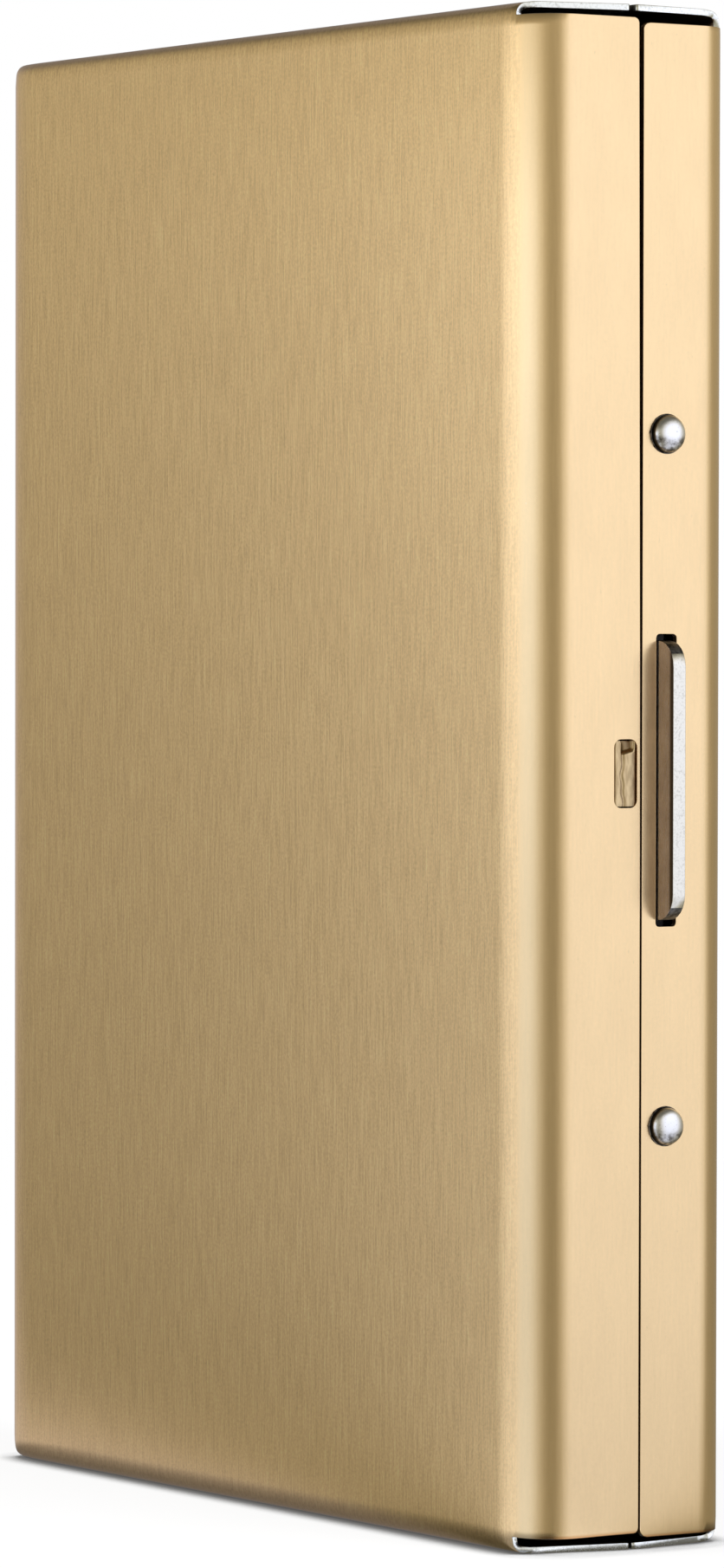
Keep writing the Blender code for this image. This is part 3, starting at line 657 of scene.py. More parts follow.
def polished_steel():
    """A hammered rivet head: bright, with shallow dents and dark specks, painted shade on its lower side and
    a painted dark rim.
    """
    bright, dark, underside_shade_colour, rim = (1.0, 0.94, 0.86), (0.42, 0.37, 0.32), (0.2, 0.175, 0.15), (0.045, 0.038, 0.03)
    made, tree = new_material("polished steel")
    coordinates = add(tree, "ShaderNodeTexCoord").outputs
    position = coordinates["Object"]
    lean = add(tree, "ShaderNodeSeparateXYZ", {"Vector": coordinates["Normal"]}).outputs
    dents = noise(tree, position, 1500.0, 2.0)
    spotted = maths(tree, "MULTIPLY", specks(tree, position, 0.12 * MM, 0.1), 0.5)
    colour = mix_colour(tree, spotted, opaque(bright), opaque(dark))
    mottle = ramp(tree, noise(tree, position, 3200.0, 3.0), 0.35, 0.65, 0.35, 1.0)
    # Painted shade: darker where the head faces down, mottled.
    underside_shade = maths(tree, "MULTIPLY", ramp(tree, lean["Z"], -0.22, -0.02, 1.0, 0.0), mottle)
    colour = mix_colour(tree, underside_shade, colour, opaque(underside_shade_colour))
    # Painted shade: a dark rim where the head turns away from its outward face.
    colour = mix_colour(tree, ramp(tree, lean["X"], 0.22, 0.5, 1.0, 0.0), colour, opaque(rim))
    normal = bump(tree, dents, 0.25, 0.08 * MM)
    surface(tree, metal(tree, colour, 0.3, normal))
    return made


def spring_strip():
    """Blued spring steel with fine rolling lines and straw-coloured clouds."""
    blue, straw = (0.16, 0.19, 0.27), (0.36, 0.3, 0.24)
    made, tree = new_material("blued spring steel")
    position = add(tree, "ShaderNodeTexCoord").outputs["Object"]
    rolled = noise(tree, stretched(tree, position, (0.06 * MM, 0.06 * MM, 4.0 * MM)), 1.0, 3.0)
    cloud = noise(tree, position, 350.0, 2.0)
    colour = mix_colour(tree, ramp(tree, cloud, 0.4, 0.7), opaque(blue), opaque(straw))
    colour = mix_colour(tree, 1.0, colour, ramp(tree, rolled, 0.3, 0.7, 0.85, 1.1, False), "MULTIPLY")
    normal = bump(tree, rolled, 0.1, 0.02 * MM)
    surface(tree, metal(tree, colour, 0.3, normal, 0.35))
    return made


def catch_gilt():
    """The catch, gilt like the covers but worn to a duller khaki, and dark where it drops away."""
    dull, worn, shadow = (0.54, 0.37, 0.18), (0.77, 0.55, 0.28), (0.13, 0.07, 0.025)
    made, tree = new_material("worn gilt catch")
    position = add(tree, "ShaderNodeTexCoord").outputs["Object"]
    wear = noise(tree, stretched(tree, position, (0.25 * MM, 0.25 * MM, 0.9 * MM)), 1.0, 3.0)
    colour = mix_colour(tree, ramp(tree, wear, 0.35, 0.7), opaque(dull), opaque(worn))
    reach = add(tree, "ShaderNodeSeparateXYZ", {"Vector": position}).outputs["X"]
    wall_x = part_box("rear_cover")[1].x
    deep = ramp(tree, reach, wall_x - 0.42 * MM, wall_x - 0.14 * MM, 1.0, 0.0)
    colour = mix_colour(tree, deep, colour, opaque(shadow))
    normal = bump(tree, wear, 0.15, 0.06 * MM)
    surface(tree, metal(tree, colour, 0.32, normal))
    return made


# Sleeve materials


def black_board(settings, name, lift):
    """Black grained board: pebbled cells with dull hollows between them."""
    made, tree = new_material(name)
    position = add(tree, "ShaderNodeTexCoord").outputs["Object"]
    grain = {"Vector": position, "Scale": 2600.0}
    cells = add(tree, "ShaderNodeTexVoronoi", grain, feature="DISTANCE_TO_EDGE").outputs
    pebble = ramp(tree, cells["Distance"], 0.0, 0.25)
    fine = noise(tree, position, 9000.0, 2.0)
    height = maths(tree, "ADD", pebble, maths(tree, "MULTIPLY", fine, 0.25))
    hollow = [(lift + part) * 0.5 for part in settings.leaf_colour]
    raised = [(lift + part) * 1.25 for part in settings.leaf_colour]
    tone = mix_colour(tree, pebble, opaque(hollow), opaque(raised))
    normal = bump(tree, height, 0.35, 0.04 * MM)
    inputs = {"Base Color": tone, "Roughness": ramp(tree, pebble, 0.0, 1.0, 0.8, 0.48), "Normal": normal}
    surface(tree, add(tree, "ShaderNodeBsdfPrincipled", inputs).outputs[0])
    return made


def black_cloth(settings):
    """Black ribbed binding cloth: threads both ways, with stray fibres."""
    made, tree = new_material("black cloth")
    position = add(tree, "ShaderNodeTexCoord").outputs["Object"]
    place = add(tree, "ShaderNodeSeparateXYZ", {"Vector": position}).outputs
    pitch = 2 * math.pi / settings.thread_pitch
    along = maths(tree, "SINE", maths(tree, "MULTIPLY", maths(tree, "ADD", place["X"], place["Y"]), pitch))
    across = maths(tree, "SINE", maths(tree, "MULTIPLY", place["Z"], pitch))
    weave = maths(tree, "MULTIPLY_ADD", maths(tree, "MULTIPLY", along, across), 0.5, 0.5)
    fibre = noise(tree, position, 12000.0, 3.0)
    height = maths(tree, "ADD", weave, maths(tree, "MULTIPLY", fibre, 0.5))
    hollow = [part * 0.45 for part in settings.cloth_colour]
    raised = [part * 1.8 for part in settings.cloth_colour]
    tone = mix_colour(tree, ramp(tree, height, 0.3, 1.1), opaque(hollow), opaque(raised))
    normal = bump(tree, height, 0.4, 0.05 * MM)
    inputs = {"Base Color": tone, "Roughness": 0.85, "Normal": normal, "Sheen Weight": 0.25}
    surface(tree, add(tree, "ShaderNodeBsdfPrincipled", inputs).outputs[0])
    return made


# Stage


def seen_rays(tree):
    """1 for the rays that show the background: from the camera, from gloss and through glass."""
    rays = add(tree, "ShaderNodeLightPath").outputs
    shown = maths(tree, "MAXIMUM", rays["Is Camera Ray"], rays["Is Glossy Ray"])
    return maths(tree, "MAXIMUM", shown, rays["Is Transmission Ray"])


def make_world(settings):
    """An even light on matt surfaces, and white wherever the background shows."""
    world = bpy.data.worlds.new("studio")
    world.use_nodes = True
    tree = world.node_tree
    tree.nodes.clear()
    even = {"Color": WHITE, "Strength": settings.ambient}
    matt = add(tree, "ShaderNodeBackground", even).outputs[0]
    white = add(tree, "ShaderNodeBackground", {"Color": WHITE, "Strength": 1.0}).outputs[0]
    mixed = add(tree, "ShaderNodeMixShader", {0: seen_rays(tree), 1: matt, 2: white}).outputs[0]
    add(tree, "ShaderNodeOutputWorld", {"Surface": mixed})
    bpy.context.scene.world = world


def make_floor(settings):
    """A pale floor that keeps the case's shadow, with a dark line right under the case."""
    builder = bmesh.new()
    bmesh.ops.create_grid(builder, x_segments=1, y_segments=1, size=settings.floor_size / 2)
    floor = add_mesh("floor", builder)
    floor.location = (0, 0, -FLOOR_GAP)
    made, tree = new_material("pale floor")
    matt = add(tree, "ShaderNodeBsdfDiffuse", {"Color": opaque(settings.floor_colour)}).outputs[0]
    nearby = {"Distance": settings.shadow_reach}
    clear = add(tree, "ShaderNodeAmbientOcclusion", nearby, samples=8).outputs["AO"]
    # Painted contact shadow: ambient occlusion dims the white glow close to the case.
    open_sky = ramp(tree, clear, 0.4, 0.9, 0.1, 1.0)
    white = add(tree, "ShaderNodeEmission", {"Color": WHITE, "Strength": open_sky}).outputs[0]
    position = add(tree, "ShaderNodeTexCoord").outputs["Object"]
    reach = vector_maths(tree, "LENGTH", position)
    share = maths(tree, "MULTIPLY", seen_rays(tree), ramp(tree, reach, 0.06, 0.3, 0.86, 1.0))
    surface(tree, add(tree, "ShaderNodeMixShader", {0: share, 1: matt, 2: white}).outputs[0])
    floor.data.materials.append(made)


def tent_shell(settings):
    """A round tent that closes over its own floor, which lies just above the real one."""
    radius = settings.tent_radius
    rise = 1.6 * radius
    steps, around = 16, 96
    profile = [(0.1 * MM, FLOOR_GAP), (0.2 * radius, FLOOR_GAP), (radius, FLOOR_GAP)]
    for step in range(1, steps + 1):
        angle = math.radians(90) * step / steps
        profile.append((radius * math.cos(angle) + 0.01 * MM, rise * math.sin(angle)))
    builder = bmesh.new()
    rings = []
    for reach, height in profile:
        ring = []
        for step in range(around):
            turn = 2 * math.pi * step / around
            ring.append(builder.verts.new((reach * math.cos(turn), reach * math.sin(turn), height)))
        rings.append(ring)
    bridge(builder, rings)
    return add_mesh("light_tent", builder)


def edge(tree, azimuth, place, soft):
    """0 before an edge of a window, 1 past it, in degrees round the case."""
    return ramp(tree, azimuth, math.radians(place - soft), math.radians(place + soft))


def falling(tree, elevation, low, high, top=0.0, foot=1.0):
    """The foot's level below a low angle, and the top's above a high one, in degrees."""
    return ramp(tree, elevation, math.radians(low), math.radians(high), foot, top)


def round_the_case(tree, place):
    """Azimuth, elevation and distance of a place in the tent, from inside the case's latch corner."""
    corner_x, corner_y, middle_z = 30 * MM, -6 * MM, 50 * MM
    across = maths(tree, "SUBTRACT", place["X"], corner_x)
    deep = maths(tree, "SUBTRACT", place["Y"], corner_y)
    across_squared = maths(tree, "MULTIPLY", across, across)
    deep_squared = maths(tree, "MULTIPLY", deep, deep)
    reach = maths(tree, "SQRT", maths(tree, "ADD", across_squared, deep_squared))
    height = maths(tree, "SUBTRACT", place["Z"], middle_z)
    return maths(tree, "ARCTAN2", deep, across), maths(tree, "ARCTAN2", height, reach), reach


def beside_the_case(tree, position, side_window, sideways, settings):
    """How much the tent's floor glows close to the case, where its foot mirrors it, against further out. Near
    the foot it is dimmed as painted shade, and brightened as painted light below the latch side's window.
    """
    low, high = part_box("front_cover")[0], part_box("rear_cover")[1]
    footprint = ((high.x - low.x) / 2, high.y, 1.0)
    away = vector_maths(tree, "SUBTRACT", vector_maths(tree, "ABSOLUTE", position), footprint)
    away = vector_maths(tree, "LENGTH", vector_maths(tree, "MAXIMUM", away, (0.0, 0.0, 0.0)))
    # Painted shade near the foot, turned to painted light below the latch side's window.
    contact = maths(tree, "MULTIPLY_ADD", side_window, 1.5, 0.3)
    contact = ramp(tree, away, 0.0, 3 * settings.shadow_reach, contact, 1.0)
    near_face = maths(tree, "MULTIPLY_ADD", sideways, -0.1, 1.1)
    return maths(tree, "MULTIPLY", contact, ramp(tree, away, 0.0, 90 * MM, near_face, 1.0))


def tent_light(settings):
    """The tent's glow: a window before the face, one before the latch side, and grey round them.

    Azimuths and elevations are in degrees. Towards the floor the windows fade, and the latch side's
    one draws in from both ends.
    """
    face_near, face_far = (0.88, 1.02, 1.3), (0.94, 1.0, 1.14)
    side_tint, surround_tint, backdrop_tint = (0.92, 1.01, 1.25), (1.02, 1.0, 0.82), (1.0, 1.0, 1.12)
    made, tree = new_material("light tent")
    position = add(tree, "ShaderNodeTexCoord").outputs["Object"]
    place = add(tree, "ShaderNodeSeparateXYZ", {"Vector": position}).outputs
    azimuth, elevation, reach = round_the_case(tree, place)
    slant = maths(tree, "MULTIPLY", maths(tree, "SUBTRACT", reach, settings.tent_radius), 0.25)
    fade = ramp(tree, maths(tree, "ADD", place["Z"], slant), -0.05, 0.12, smooth=False)
    lack = maths(tree, "SUBTRACT", 1.0, fade)

    face_end = edge(tree, azimuth, -61.0, 28.0)
    face_window = maths(tree, "SUBTRACT", edge(tree, azimuth, -142.5, 2.0), face_end)
    face_lit = maths(tree, "MULTIPLY", face_window, falling(tree, elevation, 9, 21))
    face_fade = maths(tree, "MULTIPLY_ADD", maths(tree, "POWER", fade, 2.3), 0.47, 0.53)
    face_light = maths(tree, "MULTIPLY", face_fade, settings.face_window)

    early = maths(tree, "ADD", azimuth, maths(tree, "MULTIPLY", lack, math.radians(8)))
    late = maths(tree, "SUBTRACT", azimuth, maths(tree, "MULTIPLY", lack, math.radians(9)))
    side_end = edge(tree, early, 64.0, 15.0)
    side_window = maths(tree, "SUBTRACT", edge(tree, late, -3.5, 24.0), side_end)
    side_lit = maths(tree, "MULTIPLY", side_window, falling(tree, elevation, 14, 52))
    side_fade = maths(tree, "MULTIPLY_ADD", maths(tree, "POWER", lack, 1.5), -0.277, 1.0)
    side_light = maths(tree, "MULTIPLY", side_fade, settings.side_window)

    surround_fade = maths(tree, "MULTIPLY_ADD", maths(tree, "POWER", fade, 2.6), 0.4, 0.6)
    dim = falling(tree, elevation, 8, 50, 0.1, settings.surround_level)
    dim = maths(tree, "MULTIPLY", dim, surround_fade)
    past_face = maths(tree, "SUBTRACT", 1.0, edge(tree, azimuth, -168.0, 8.0))
    behind = maths(tree, "ADD", edge(tree, azimuth, 125.0, 15.0), past_face, clamp=True)
    backdrop = maths(tree, "MULTIPLY", falling(tree, elevation, 8, 35, 0.42), settings.backdrop_level)

    sideways = edge(tree, azimuth, -32.0, 12.0)
    lit = maths(tree, "ADD", face_lit, side_lit, clamp=True)
    level = mix_value(tree, lit, dim, mix_value(tree, sideways, face_light, side_light))
    level = mix_value(tree, behind, level, backdrop)
    beside = beside_the_case(tree, position, side_window, sideways, settings)
    level = maths(tree, "MULTIPLY", level, beside)
    colour = mix_colour(tree, edge(tree, azimuth, -121.0, 16.0), opaque(face_far), opaque(face_near))
    colour = mix_colour(tree, sideways, colour, opaque(side_tint))
    colour = mix_colour(tree, lit, opaque(surround_tint), colour)
    colour = mix_colour(tree, behind, colour, opaque(backdrop_tint))
    surface(tree, add(tree, "ShaderNodeEmission", {"Color": colour, "Strength": level}).outputs[0])
    return made


def make_tent(settings):
    """A light tent that only the metal's gloss sees."""
    tent = tent_shell(settings)
    tent.data.materials.append(tent_light(settings))
    tent.visible_camera = False
    tent.visible_diffuse = False
    tent.visible_shadow = False
    tent.visible_transmission = False


def make_camera(settings):
    """The camera stands where the photograph was taken from."""
    centre = Vector(((CAD_LOW.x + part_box("front_cover")[1].x) / 2, (CAD_LOW.y + CAD_HIGH.y) / 2, 0.0))
    bearing = settings.camera_bearing
    reach = settings.camera_distance
    place = centre + Vector((reach * math.sin(bearing), -reach * math.cos(bearing), settings.camera_height))
    heading = math.atan2(centre.y - place.y, centre.x - place.x) + settings.camera_yaw
    pitch = settings.camera_pitch
    along = math.cos(pitch)
    forward = Vector((along * math.cos(heading), along * math.sin(heading), -math.sin(pitch)))
    right = Vector((math.sin(heading), -math.cos(heading), 0.0))
    up = right.cross(forward)
    turned = right * math.cos(settings.camera_roll) + up * math.sin(settings.camera_roll)
    up = up * math.cos(settings.camera_roll) - right * math.sin(settings.camera_roll)
    data = bpy.data.cameras.new("camera")
    data.lens = settings.lens
    data.sensor_width = 36.0
    data.clip_start = 0.01
    data.clip_end = 20.0
    camera = bpy.data.objects.new("camera", data)
    bpy.context.scene.collection.objects.link(camera)
    basis = Matrix((turned, up, -forward)).transposed()
    camera.matrix_world = Matrix.Translation(place) @ basis.to_4x4()
    bpy.context.scene.camera = camera


def make_lamp(name, place, settings):
    """A soft round lamp, aimed at the case, that gloss doesn't mirror."""
    data = bpy.data.lights.new(name, "AREA")
    data.shape = "DISK"
    data.size = settings.lamp_size
    data.energy = settings.lamp_power
    lamp = bpy.data.objects.new(name, data)
    bpy.context.scene.collection.objects.link(lamp)
    lamp.location = place
    aim = Vector((0.0, 0.0, 50 * MM)) - Vector(place)
    lamp.rotation_mode = "QUATERNION"
    lamp.rotation_quaternion = aim.to_track_quat("-Z", "Y")
    lamp.visible_glossy = False


# Covers and latch


def make_cover(node, body, settings, finishes):
    """A folded cover, with every cut edge of its sheet eased."""
    low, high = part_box(node)
    builder = welded(node)
    mark_cut_edges(builder, settings.sheet, low.z + settings.flap_zone, high.z - settings.flap_zone)
    ease_edges(builder, settings.cover_easing)
    piece = add_mesh(f"{node}_sheet", builder, *finishes)
    shade(piece)
    place_piece(piece, body, "brushed_gold", node)


def make_turned(node, body, finish):
    """The hinge pin or a rivet."""
    builder = welded(node)
    ease_edges(builder, 0.03 * MM, sharper=math.radians(50))
    piece = add_mesh(f"{node}_turned", builder, finish)
    shade(piece, math.radians(35))
    place_piece(piece, body, "bare_steel", node)


def make_burr(node, settings, finish):
    """The crushed lip of the hole under a rivet's head, thickest towards the parting line. Its thin dark ring
    all round the head is painted shade.
    """
    low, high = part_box(node)
    middle_y = (low.y + high.y) / 2
    middle_z = (low.z + high.z) / 2
    radius = (high.y - low.y) / 2
    root_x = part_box("rear_cover")[1].x + 0.01 * MM
    around = 64
    lip_profile = ((-0.5, 0.0), (0.35, 0.55), (0.8, 0.5), (1.0, 0.0))
    builder = bmesh.new()
    rings = []
    for reach, lift in lip_profile:
        ring = []
        for step in range(around):
            angle = 2 * math.pi * step / around
            side = max(0.0, -math.cos(angle)) ** 2
            ragged = 0.5 + 0.5 * math.sin(5.3 * angle + 1.0) * math.sin(11.7 * angle)
            # A 0.42 share of the reach goes all round the head as a dark ring of painted shade; the rest is
            # the lip towards the parting line.
            lip = settings.burr_reach * (0.42 + 0.58 * side * ragged)
            out = radius + lip * reach
            y = middle_y + out * math.cos(angle)
            z = middle_z + out * math.sin(angle)
            ring.append(builder.verts.new((root_x + lip * lift, y, z)))
        rings.append(ring)
    bridge(builder, rings + rings[:1])
    bmesh.ops.recalc_face_normals(builder, faces=builder.faces)
    piece = add_mesh(f"{node}_burr", builder, finish)
    piece.data.shade_smooth()
    place_piece(piece, "rear", "bare_steel", node)


def make_latch_plate(settings, finishes):
    """The push tab and its foot, stamped from one plate.

    The finishes are those of the sides, the bright outer edge, the dull ends, and painted shade on the part
    inside the wall.
    """
    builder = welded("latch_plate")
    wall_x = CAD_HIGH.x - settings.tab_reach
    wedge = []
    for face in builder.faces:
        middle = face.calc_center_median()
        near_catch = abs(middle.y - settings.catch_across) < settings.catch_width / 2
        if near_catch and middle.x > wall_x - settings.sheet - 0.2 * MM:
            wedge.append(face)
    bmesh.ops.delete(builder, geom=wedge, context="FACES")
    ease_edges(builder, settings.plate_easing)
    for face in builder.faces:
        # Painted shade: the part that lies inside the wall gets the near-black fourth finish.
        if max(vert.co.x for vert in face.verts) < wall_x - 0.05 * MM:
            face.material_index = 3
        elif abs(face.normal.z) > 0.5:
            face.material_index = 2
        else:
            face.material_index = 1 if face.normal.x > 0.5 else 0
    piece = add_mesh("push_tab_plate", builder, *finishes)
    shade(piece)
    place_piece(piece, "latch", "bare_steel", "latch_plate")


def share_between(value, low, high):
    """0 where a value is at the low end or below, 1 at the high end or above."""
    return max(0.0, min(1.0, (value - low) / (high - low)))


def catch_relief(u, v, settings):
    """Height of the catch's face, in rises, at shares u of its width and v of its height."""
    ridge = 0.37 + 0.04 * math.sin(9.0 * v + 0.6) + 0.025 * math.sin(23.0 * v)
    if u < ridge:
        height = -0.35 * (1 - u / ridge)
    else:
        height = -0.4 * ((u - ridge) / (1 - ridge)) ** 3
    groove_width = 0.06
    height -= 0.4 * math.exp(-(((u - ridge) / groove_width) ** 2))
    height += 0.1 * math.sin(13.0 * v + 4.0 * u) * math.sin(math.pi * u)
    torn = share_between(v + 0.1 * (1 - u), 0.84, 0.89)
    torn *= share_between(u, 0.3, 0.42) * share_between(1 - u, 0.1, 0.2)
    height -= 1.7 * torn
    side = min(u, 1 - u) * settings.catch_width
    end = min(v, 1 - v) * settings.catch_length
    brim = max(0.0, 1 - min(side, end) / settings.catch_brim)
    return height - 2.0 * brim * brim


def draw_in(y, z, settings):
    """Brings a point of the catch's rectangle inside its rounded corners."""
    corner = settings.catch_corner
    flat_y = settings.catch_width / 2 - corner
    flat_z = settings.catch_length / 2 - corner
    over_y, over_z = abs(y) - flat_y, abs(z) - flat_z
    out = math.hypot(over_y, over_z)
    if over_y <= 0 or over_z <= 0 or out <= corner:
        return y, z
    return math.copysign(flat_y + over_y * corner / out, y), math.copysign(flat_z + over_z * corner / out, z)


def make_catch(settings, finish):
    """The catch's face in the front cover's slot: two facets on a wandering ridge, torn at its top."""
    face_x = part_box("rear_cover")[1].x - 0.02 * MM
    across, upright = 28, 56
    builder = bmesh.new()
    grid = []
    for row in range(upright + 1):
        v = row / upright
        line = []
        for column in range(across + 1):
            u = column / across
            y, z = draw_in((u - 0.5) * settings.catch_width, (v - 0.5) * settings.catch_length, settings)
            x = face_x + settings.catch_rise * catch_relief(u, v, settings)
            line.append(builder.verts.new((x, settings.catch_across + y, settings.catch_height + z)))
        grid.append(line)
    bridge(builder, grid, closed=False)
    piece = add_mesh("catch_face", builder, finish)
    shade(piece, math.radians(50))
    place_piece(piece, "latch", "bare_steel", "latch_plate")


def make_spring_half(settings, name, up, finish):
    """Half of the latch spring. It bends between its rivet on the rear cover and the latch's foot."""
    low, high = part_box("latch_spring")
    middle_z = (low.z + high.z) / 2
    start = settings.spring_plateau / 2
    slope = settings.spring_slope
    steps = settings.spring_steps
    builder = welded("latch_spring")
    cuts = [0.0] + [start + slope * step / steps for step in range(steps + 1)]
    for cut in cuts:
        geometry = builder.verts[:] + builder.edges[:] + builder.faces[:]
        plane = (0.0, 0.0, middle_z + up * cut)
        bmesh.ops.bisect_plane(
            builder, geom=geometry, plane_co=plane, plane_no=(0.0, 0.0, -up), clear_outer=cut == 0.0,
            dist=WELD,
        )
        if cut == 0.0:
            bmesh.ops.holes_fill(builder, edges=builder.edges, sides=8)
    depth = high.x - low.x - settings.spring_thickness
    for vert in builder.verts:
        share = (abs(vert.co.z - middle_z) - start) / slope
        if 0.0 < share < 1.0:
            vert.co.x += depth * (share * share * (3 - 2 * share) - share)
    ease_edges(builder, 0.04 * MM)
    piece = add_mesh(name, builder, finish)
    shade(piece)
    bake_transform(piece)
    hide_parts("latch_spring")


# Sleeve


def leaf_outline(low, high, inset, settings):
    """The leaf's outline seen from the front, drawn in by the inset. It always has as many points."""
    points = []
    corners = (
        (high.x, high.z, 1, 1, settings.leaf_corner),
        (low.x, high.z, -1, 1, settings.spine_corner),
        (low.x, low.z, -1, -1, settings.spine_corner),
        (high.x, low.z, 1, -1, settings.leaf_corner),
    )
    for turn, (x, z, side, end, corner) in enumerate(corners):
        radius = max(corner - inset, 0.05 * MM)
        centre_x = x - side * (inset + radius)
        centre_z = z - end * (inset + radius)
        for step in range(settings.corner_steps + 1):
            angle = math.radians(90) * (turn + step / settings.corner_steps)
            points.append((centre_x + radius * math.cos(angle), centre_z + radius * math.sin(angle)))
    return points


def make_leaf(index, settings, board, worn):
    """A thin board with rounded, worn edges and a pressed line along its border on both sides."""
    node = f"leaf_{index}"
    low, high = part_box(node)
    middle = (low.y + high.y) / 2
    half = (high.y - low.y) / 2
    line = settings.border_line / 2
    border = settings.leaf_border
    face_profile = [
        (border + 2 * line, 1.0),
        (border + line, 1.0),
        (border, 1.0 - settings.line_depth / half),
        (border - line, 1.0),
        (settings.leaf_easing, 1.0),
        (settings.leaf_easing * 0.3, 0.7),
        (0.0, 0.3),
    ]
    profile = face_profile + [(inset, -share) for inset, share in reversed(face_profile)]
    builder = bmesh.new()
    rings = []
    for inset, share in profile:
        outline = leaf_outline(low, high, inset, settings)
        rings.append([builder.verts.new((x, middle + half * share, z)) for x, z in outline])
    bridge(builder, rings)
    builder.faces.new(rings[0])
    builder.faces.new(rings[-1][::-1])
    bmesh.ops.recalc_face_normals(builder, faces=builder.faces)
    for face in builder.faces:
        if abs(face.normal.y) < 0.9 and len(face.verts) == 4:
            face.material_index = 1
    piece = add_mesh(f"{node}_board", builder, board, worn)
    shade(piece, math.radians(40))
    place_piece(piece, BODIES[index], "leaf_black", node)


def fold_section(half_mouth, depth, settings):
    """Half open cloth seen from its end: down one leg, round the fold and up the other, as (across, drop)."""
    radius = settings.fold_radius
    points = []
    for step in range(settings.leg_steps):
        share = step / settings.leg_steps
        lean = share * share * (3 - 2 * share)
        points.append((half_mouth + (radius - half_mouth) * lean, (depth - radius) * share))
    mirrored = [(-across, drop) for across, drop in reversed(points)]
    for step in range(settings.fold_steps + 1):
        angle = math.pi * step / settings.fold_steps
        points.append((radius * math.cos(angle), depth - radius + radius * math.sin(angle)))
    return points + mirrored


def make_fold(name, node, pocket, stations, place, settings, cloth):
    """A strip of folded cloth between two leaves.

    Each station is a place along the strip and the fold's depth there, and place turns the place
    along, the place across and the drop into a point.
    """
    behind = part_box(f"leaf_{pocket - 1}")[0].y
    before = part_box(f"leaf_{pocket}")[1].y
    middle = (behind + before) / 2
    half_mouth = (behind - before) / 2 - settings.cloth_clearance
    builder = bmesh.new()
    sections = []
    for index, (along, depth) in enumerate(stations):
        wave = settings.cloth_wave * math.sin(index * 1.9 + pocket)
        section = fold_section(half_mouth, depth + wave, settings)
        drift = settings.cloth_wave * math.sin(index * 1.3 + 2.0 * pocket)
        row = []
        for step, (across, drop) in enumerate(section):
            sway = drift * math.sin(math.pi * step / (len(section) - 1))
            row.append(builder.verts.new(place(along, middle + across + sway, drop)))
        sections.append(row)
    bridge(builder, sections, closed=False)
    bmesh.ops.solidify(builder, geom=builder.faces[:], thickness=settings.cloth_thickness)
    bmesh.ops.recalc_face_normals(builder, faces=builder.faces)
    piece = add_mesh(name, builder, cloth)
    piece.data.shade_smooth()
    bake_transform(piece)
    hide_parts(node)
    return piece


def make_gussets(pocket, settings, cloth):
    """The folds that close a pocket at its top and bottom, deeper towards the free edge."""
    for end, up in (("top", 1), ("bottom", -1)):
        node = f"gusset_{end}_{pocket}"
        low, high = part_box(node)
        mouth = high.z if up > 0 else low.z
        deep = high.z - low.z
        stations = []
        for step in range(settings.gusset_steps + 1):
            share = step / settings.gusset_steps
            depth = settings.gusset_shallow + (deep - settings.gusset_shallow) * share
            stations.append((low.x + (high.x - low.x) * share, depth))
        piece = make_fold(
            f"{node}_cloth", node, pocket, stations, lambda along, y, drop: (along, y, mouth - up * drop),
            settings, cloth,
        )


def make_spine(pocket, settings, cloth):
    """The fold that joins two leaves along the hinge side."""
    node = f"spine_fold_{pocket}"
    low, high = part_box(node)
    stations = []
    for step in range(settings.spine_steps + 1):
        stations.append((low.z + (high.z - low.z) * step / settings.spine_steps, high.x - low.x))
    make_fold(
        f"{node}_cloth", node, pocket, stations, lambda along, y, drop: (high.x - drop, y, along),
        settings, cloth,
    )


# Steps


class CARDHOLDER_OT_stage(bpy.types.Operator):
    """Lays out the floor, the light and the camera"""

    bl_idname = "cardholder.stage"
    bl_label = "Stage"

    def execute(self, context):
        settings = context.scene.card_stage
        context.scene.view_settings.view_transform = "Standard"
        make_world(settings)
        make_floor(settings)
        make_tent(settings)
        for name, place in LAMPS.items():
            make_lamp(name, place, settings)
        make_camera(settings)
        return {"FINISHED"}


class CARDHOLDER_OT_covers(bpy.types.Operator):
    """Makes the two folded covers"""

    bl_idname = "cardholder.covers"
    bl_label = "Covers"

    def execute(self, context):
        settings = context.scene.card_metal
        finishes = (
            brushed_gold(settings),
            bare_edge("bare sheet edge", settings.sheet_edge),
            gilt_edge(),
            # Painted shade: the flap tips face the narrow gap between the flaps, so they are drawn dark grey.
            dark_steel("flap tip in painted shade", (0.1, 0.095, 0.09), (0.34, 0.32, 0.3), 0.35),
        )
        make_cover("front_cover", "front", settings, finishes)
        make_cover("rear_cover", "rear", settings, finishes)
        return {"FINISHED"}


class CARDHOLDER_OT_hinge(bpy.types.Operator):
    """Makes the hinge pin"""

    bl_idname = "cardholder.hinge"
    bl_label = "Hinge pin"

    def execute(self, context):
        make_turned("hinge_pin", "rear", satin_steel(context.scene.card_metal))
        return {"FINISHED"}


class CARDHOLDER_OT_rivets(bpy.types.Operator):
    """Makes the two rivets of the latch spring"""

    bl_idname = "cardholder.rivets"
    bl_label = "Rivets"

    def execute(self, context):
        settings = context.scene.card_metal
        polished = polished_steel()
        # Dark mottled steel for the crushed lips, whose rings all round the heads are painted shade.
        crushed = dark_steel("crushed lip", (0.06, 0.045, 0.035), (0.3, 0.25, 0.19), 0.4)
        for node in RIVETS:
            make_turned(node, "rear", polished)
            make_burr(node, settings, crushed)
        return {"FINISHED"}


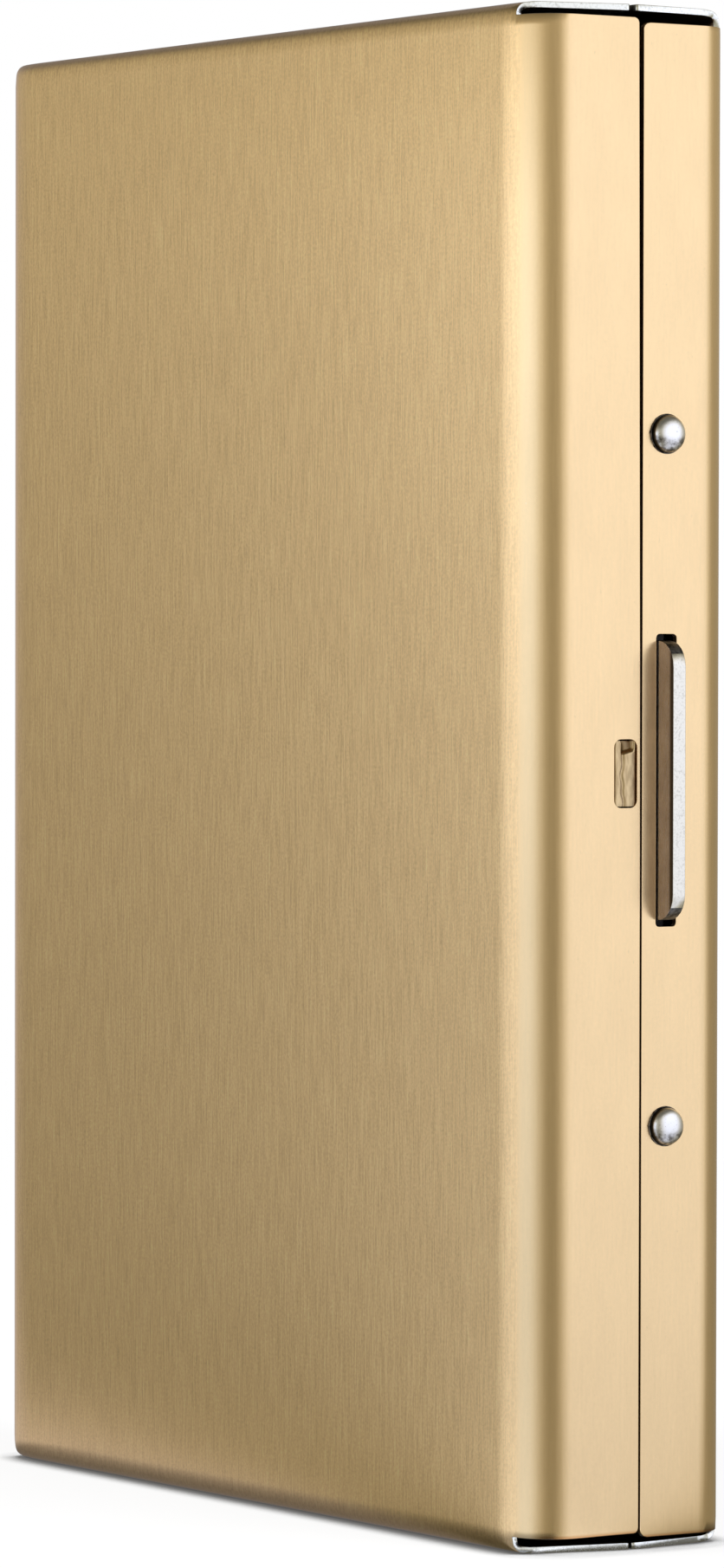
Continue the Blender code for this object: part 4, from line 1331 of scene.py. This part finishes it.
class CARDHOLDER_OT_latch(bpy.types.Operator):
    """Makes the push tab with its foot and catch"""

    bl_idname = "cardholder.latch"
    bl_label = "Latch plate"

    def execute(self, context):
        settings = context.scene.card_metal
        finishes = (
            satin_steel(settings),
            bare_edge("bare plate edge", settings.plate_edge),
            dark_steel("mill skin", (0.07, 0.065, 0.06), (0.24, 0.22, 0.2), 0.32),
            # Near-black painted shade for the part of the plate inside the wall.
            dark_steel("painted shade inside the wall", (0.012, 0.011, 0.01), (0.045, 0.04, 0.035), 0.4),
        )
        make_latch_plate(settings, finishes)
        make_catch(settings, catch_gilt())
        return {"FINISHED"}


class CARDHOLDER_OT_spring(bpy.types.Operator):
    """Makes the leaf spring behind the latch plate"""

    bl_idname = "cardholder.spring"
    bl_label = "Latch spring"

    def execute(self, context):
        settings = context.scene.card_metal
        finish = spring_strip()
        make_spring_half(settings, "latch_spring_upper", 1, finish)
        make_spring_half(settings, "latch_spring_lower", -1, finish)
        return {"FINISHED"}


class CARDHOLDER_OT_leaves(bpy.types.Operator):
    """Makes the seven leaves of the sleeve"""

    bl_idname = "cardholder.leaves"
    bl_label = "Leaves"

    def execute(self, context):
        settings = context.scene.card_sleeve
        board = black_board(settings, "black board", 0.0)
        worn = black_board(settings, "worn board edge", 0.03)
        for index in range(LEAF_COUNT):
            make_leaf(index, settings, board, worn)
        return {"FINISHED"}


class CARDHOLDER_OT_pleats(bpy.types.Operator):
    """Makes the gussets and spine folds of the six pockets"""

    bl_idname = "cardholder.pleats"
    bl_label = "Pleats"

    def execute(self, context):
        settings = context.scene.card_sleeve
        cloth = black_cloth(settings)
        for pocket in range(1, LEAF_COUNT):
            make_gussets(pocket, settings, cloth)
            make_spine(pocket, settings, cloth)
        return {"FINISHED"}


OPERATORS = (
    CARDHOLDER_OT_stage,
    CARDHOLDER_OT_covers,
    CARDHOLDER_OT_hinge,
    CARDHOLDER_OT_rivets,
    CARDHOLDER_OT_latch,
    CARDHOLDER_OT_spring,
    CARDHOLDER_OT_leaves,
    CARDHOLDER_OT_pleats,
)


class CARDHOLDER_PT_panel(bpy.types.Panel):
    """Lists the steps that dress the card holder"""

    bl_label = "Card holder"
    bl_idname = "CARDHOLDER_PT_panel"
    bl_space_type = "VIEW_3D"
    bl_region_type = "UI"
    bl_category = "Card holder"

    def draw(self, context):
        for operator in OPERATORS:
            self.layout.operator(operator.bl_idname)


GROUPS = {"card_stage": StageSettings, "card_metal": MetalSettings, "card_sleeve": SleeveSettings}


def register():
    for made in (*GROUPS.values(), *OPERATORS, CARDHOLDER_PT_panel):
        bpy.utils.register_class(made)
    for name, group in GROUPS.items():
        setattr(bpy.types.Scene, name, bpy.props.PointerProperty(type=group))


def unregister():
    for name in GROUPS:
        delattr(bpy.types.Scene, name)
    for made in (CARDHOLDER_PT_panel, *reversed(OPERATORS), *GROUPS.values()):
        bpy.utils.unregister_class(made)


def main():
    register()
    bpy.ops.cardholder.stage()
    bpy.ops.cardholder.covers()
    bpy.ops.cardholder.hinge()
    bpy.ops.cardholder.rivets()
    bpy.ops.cardholder.latch()
    bpy.ops.cardholder.spring()
    bpy.ops.cardholder.leaves()
    bpy.ops.cardholder.pleats()


if __name__ == "__main__":
    main()
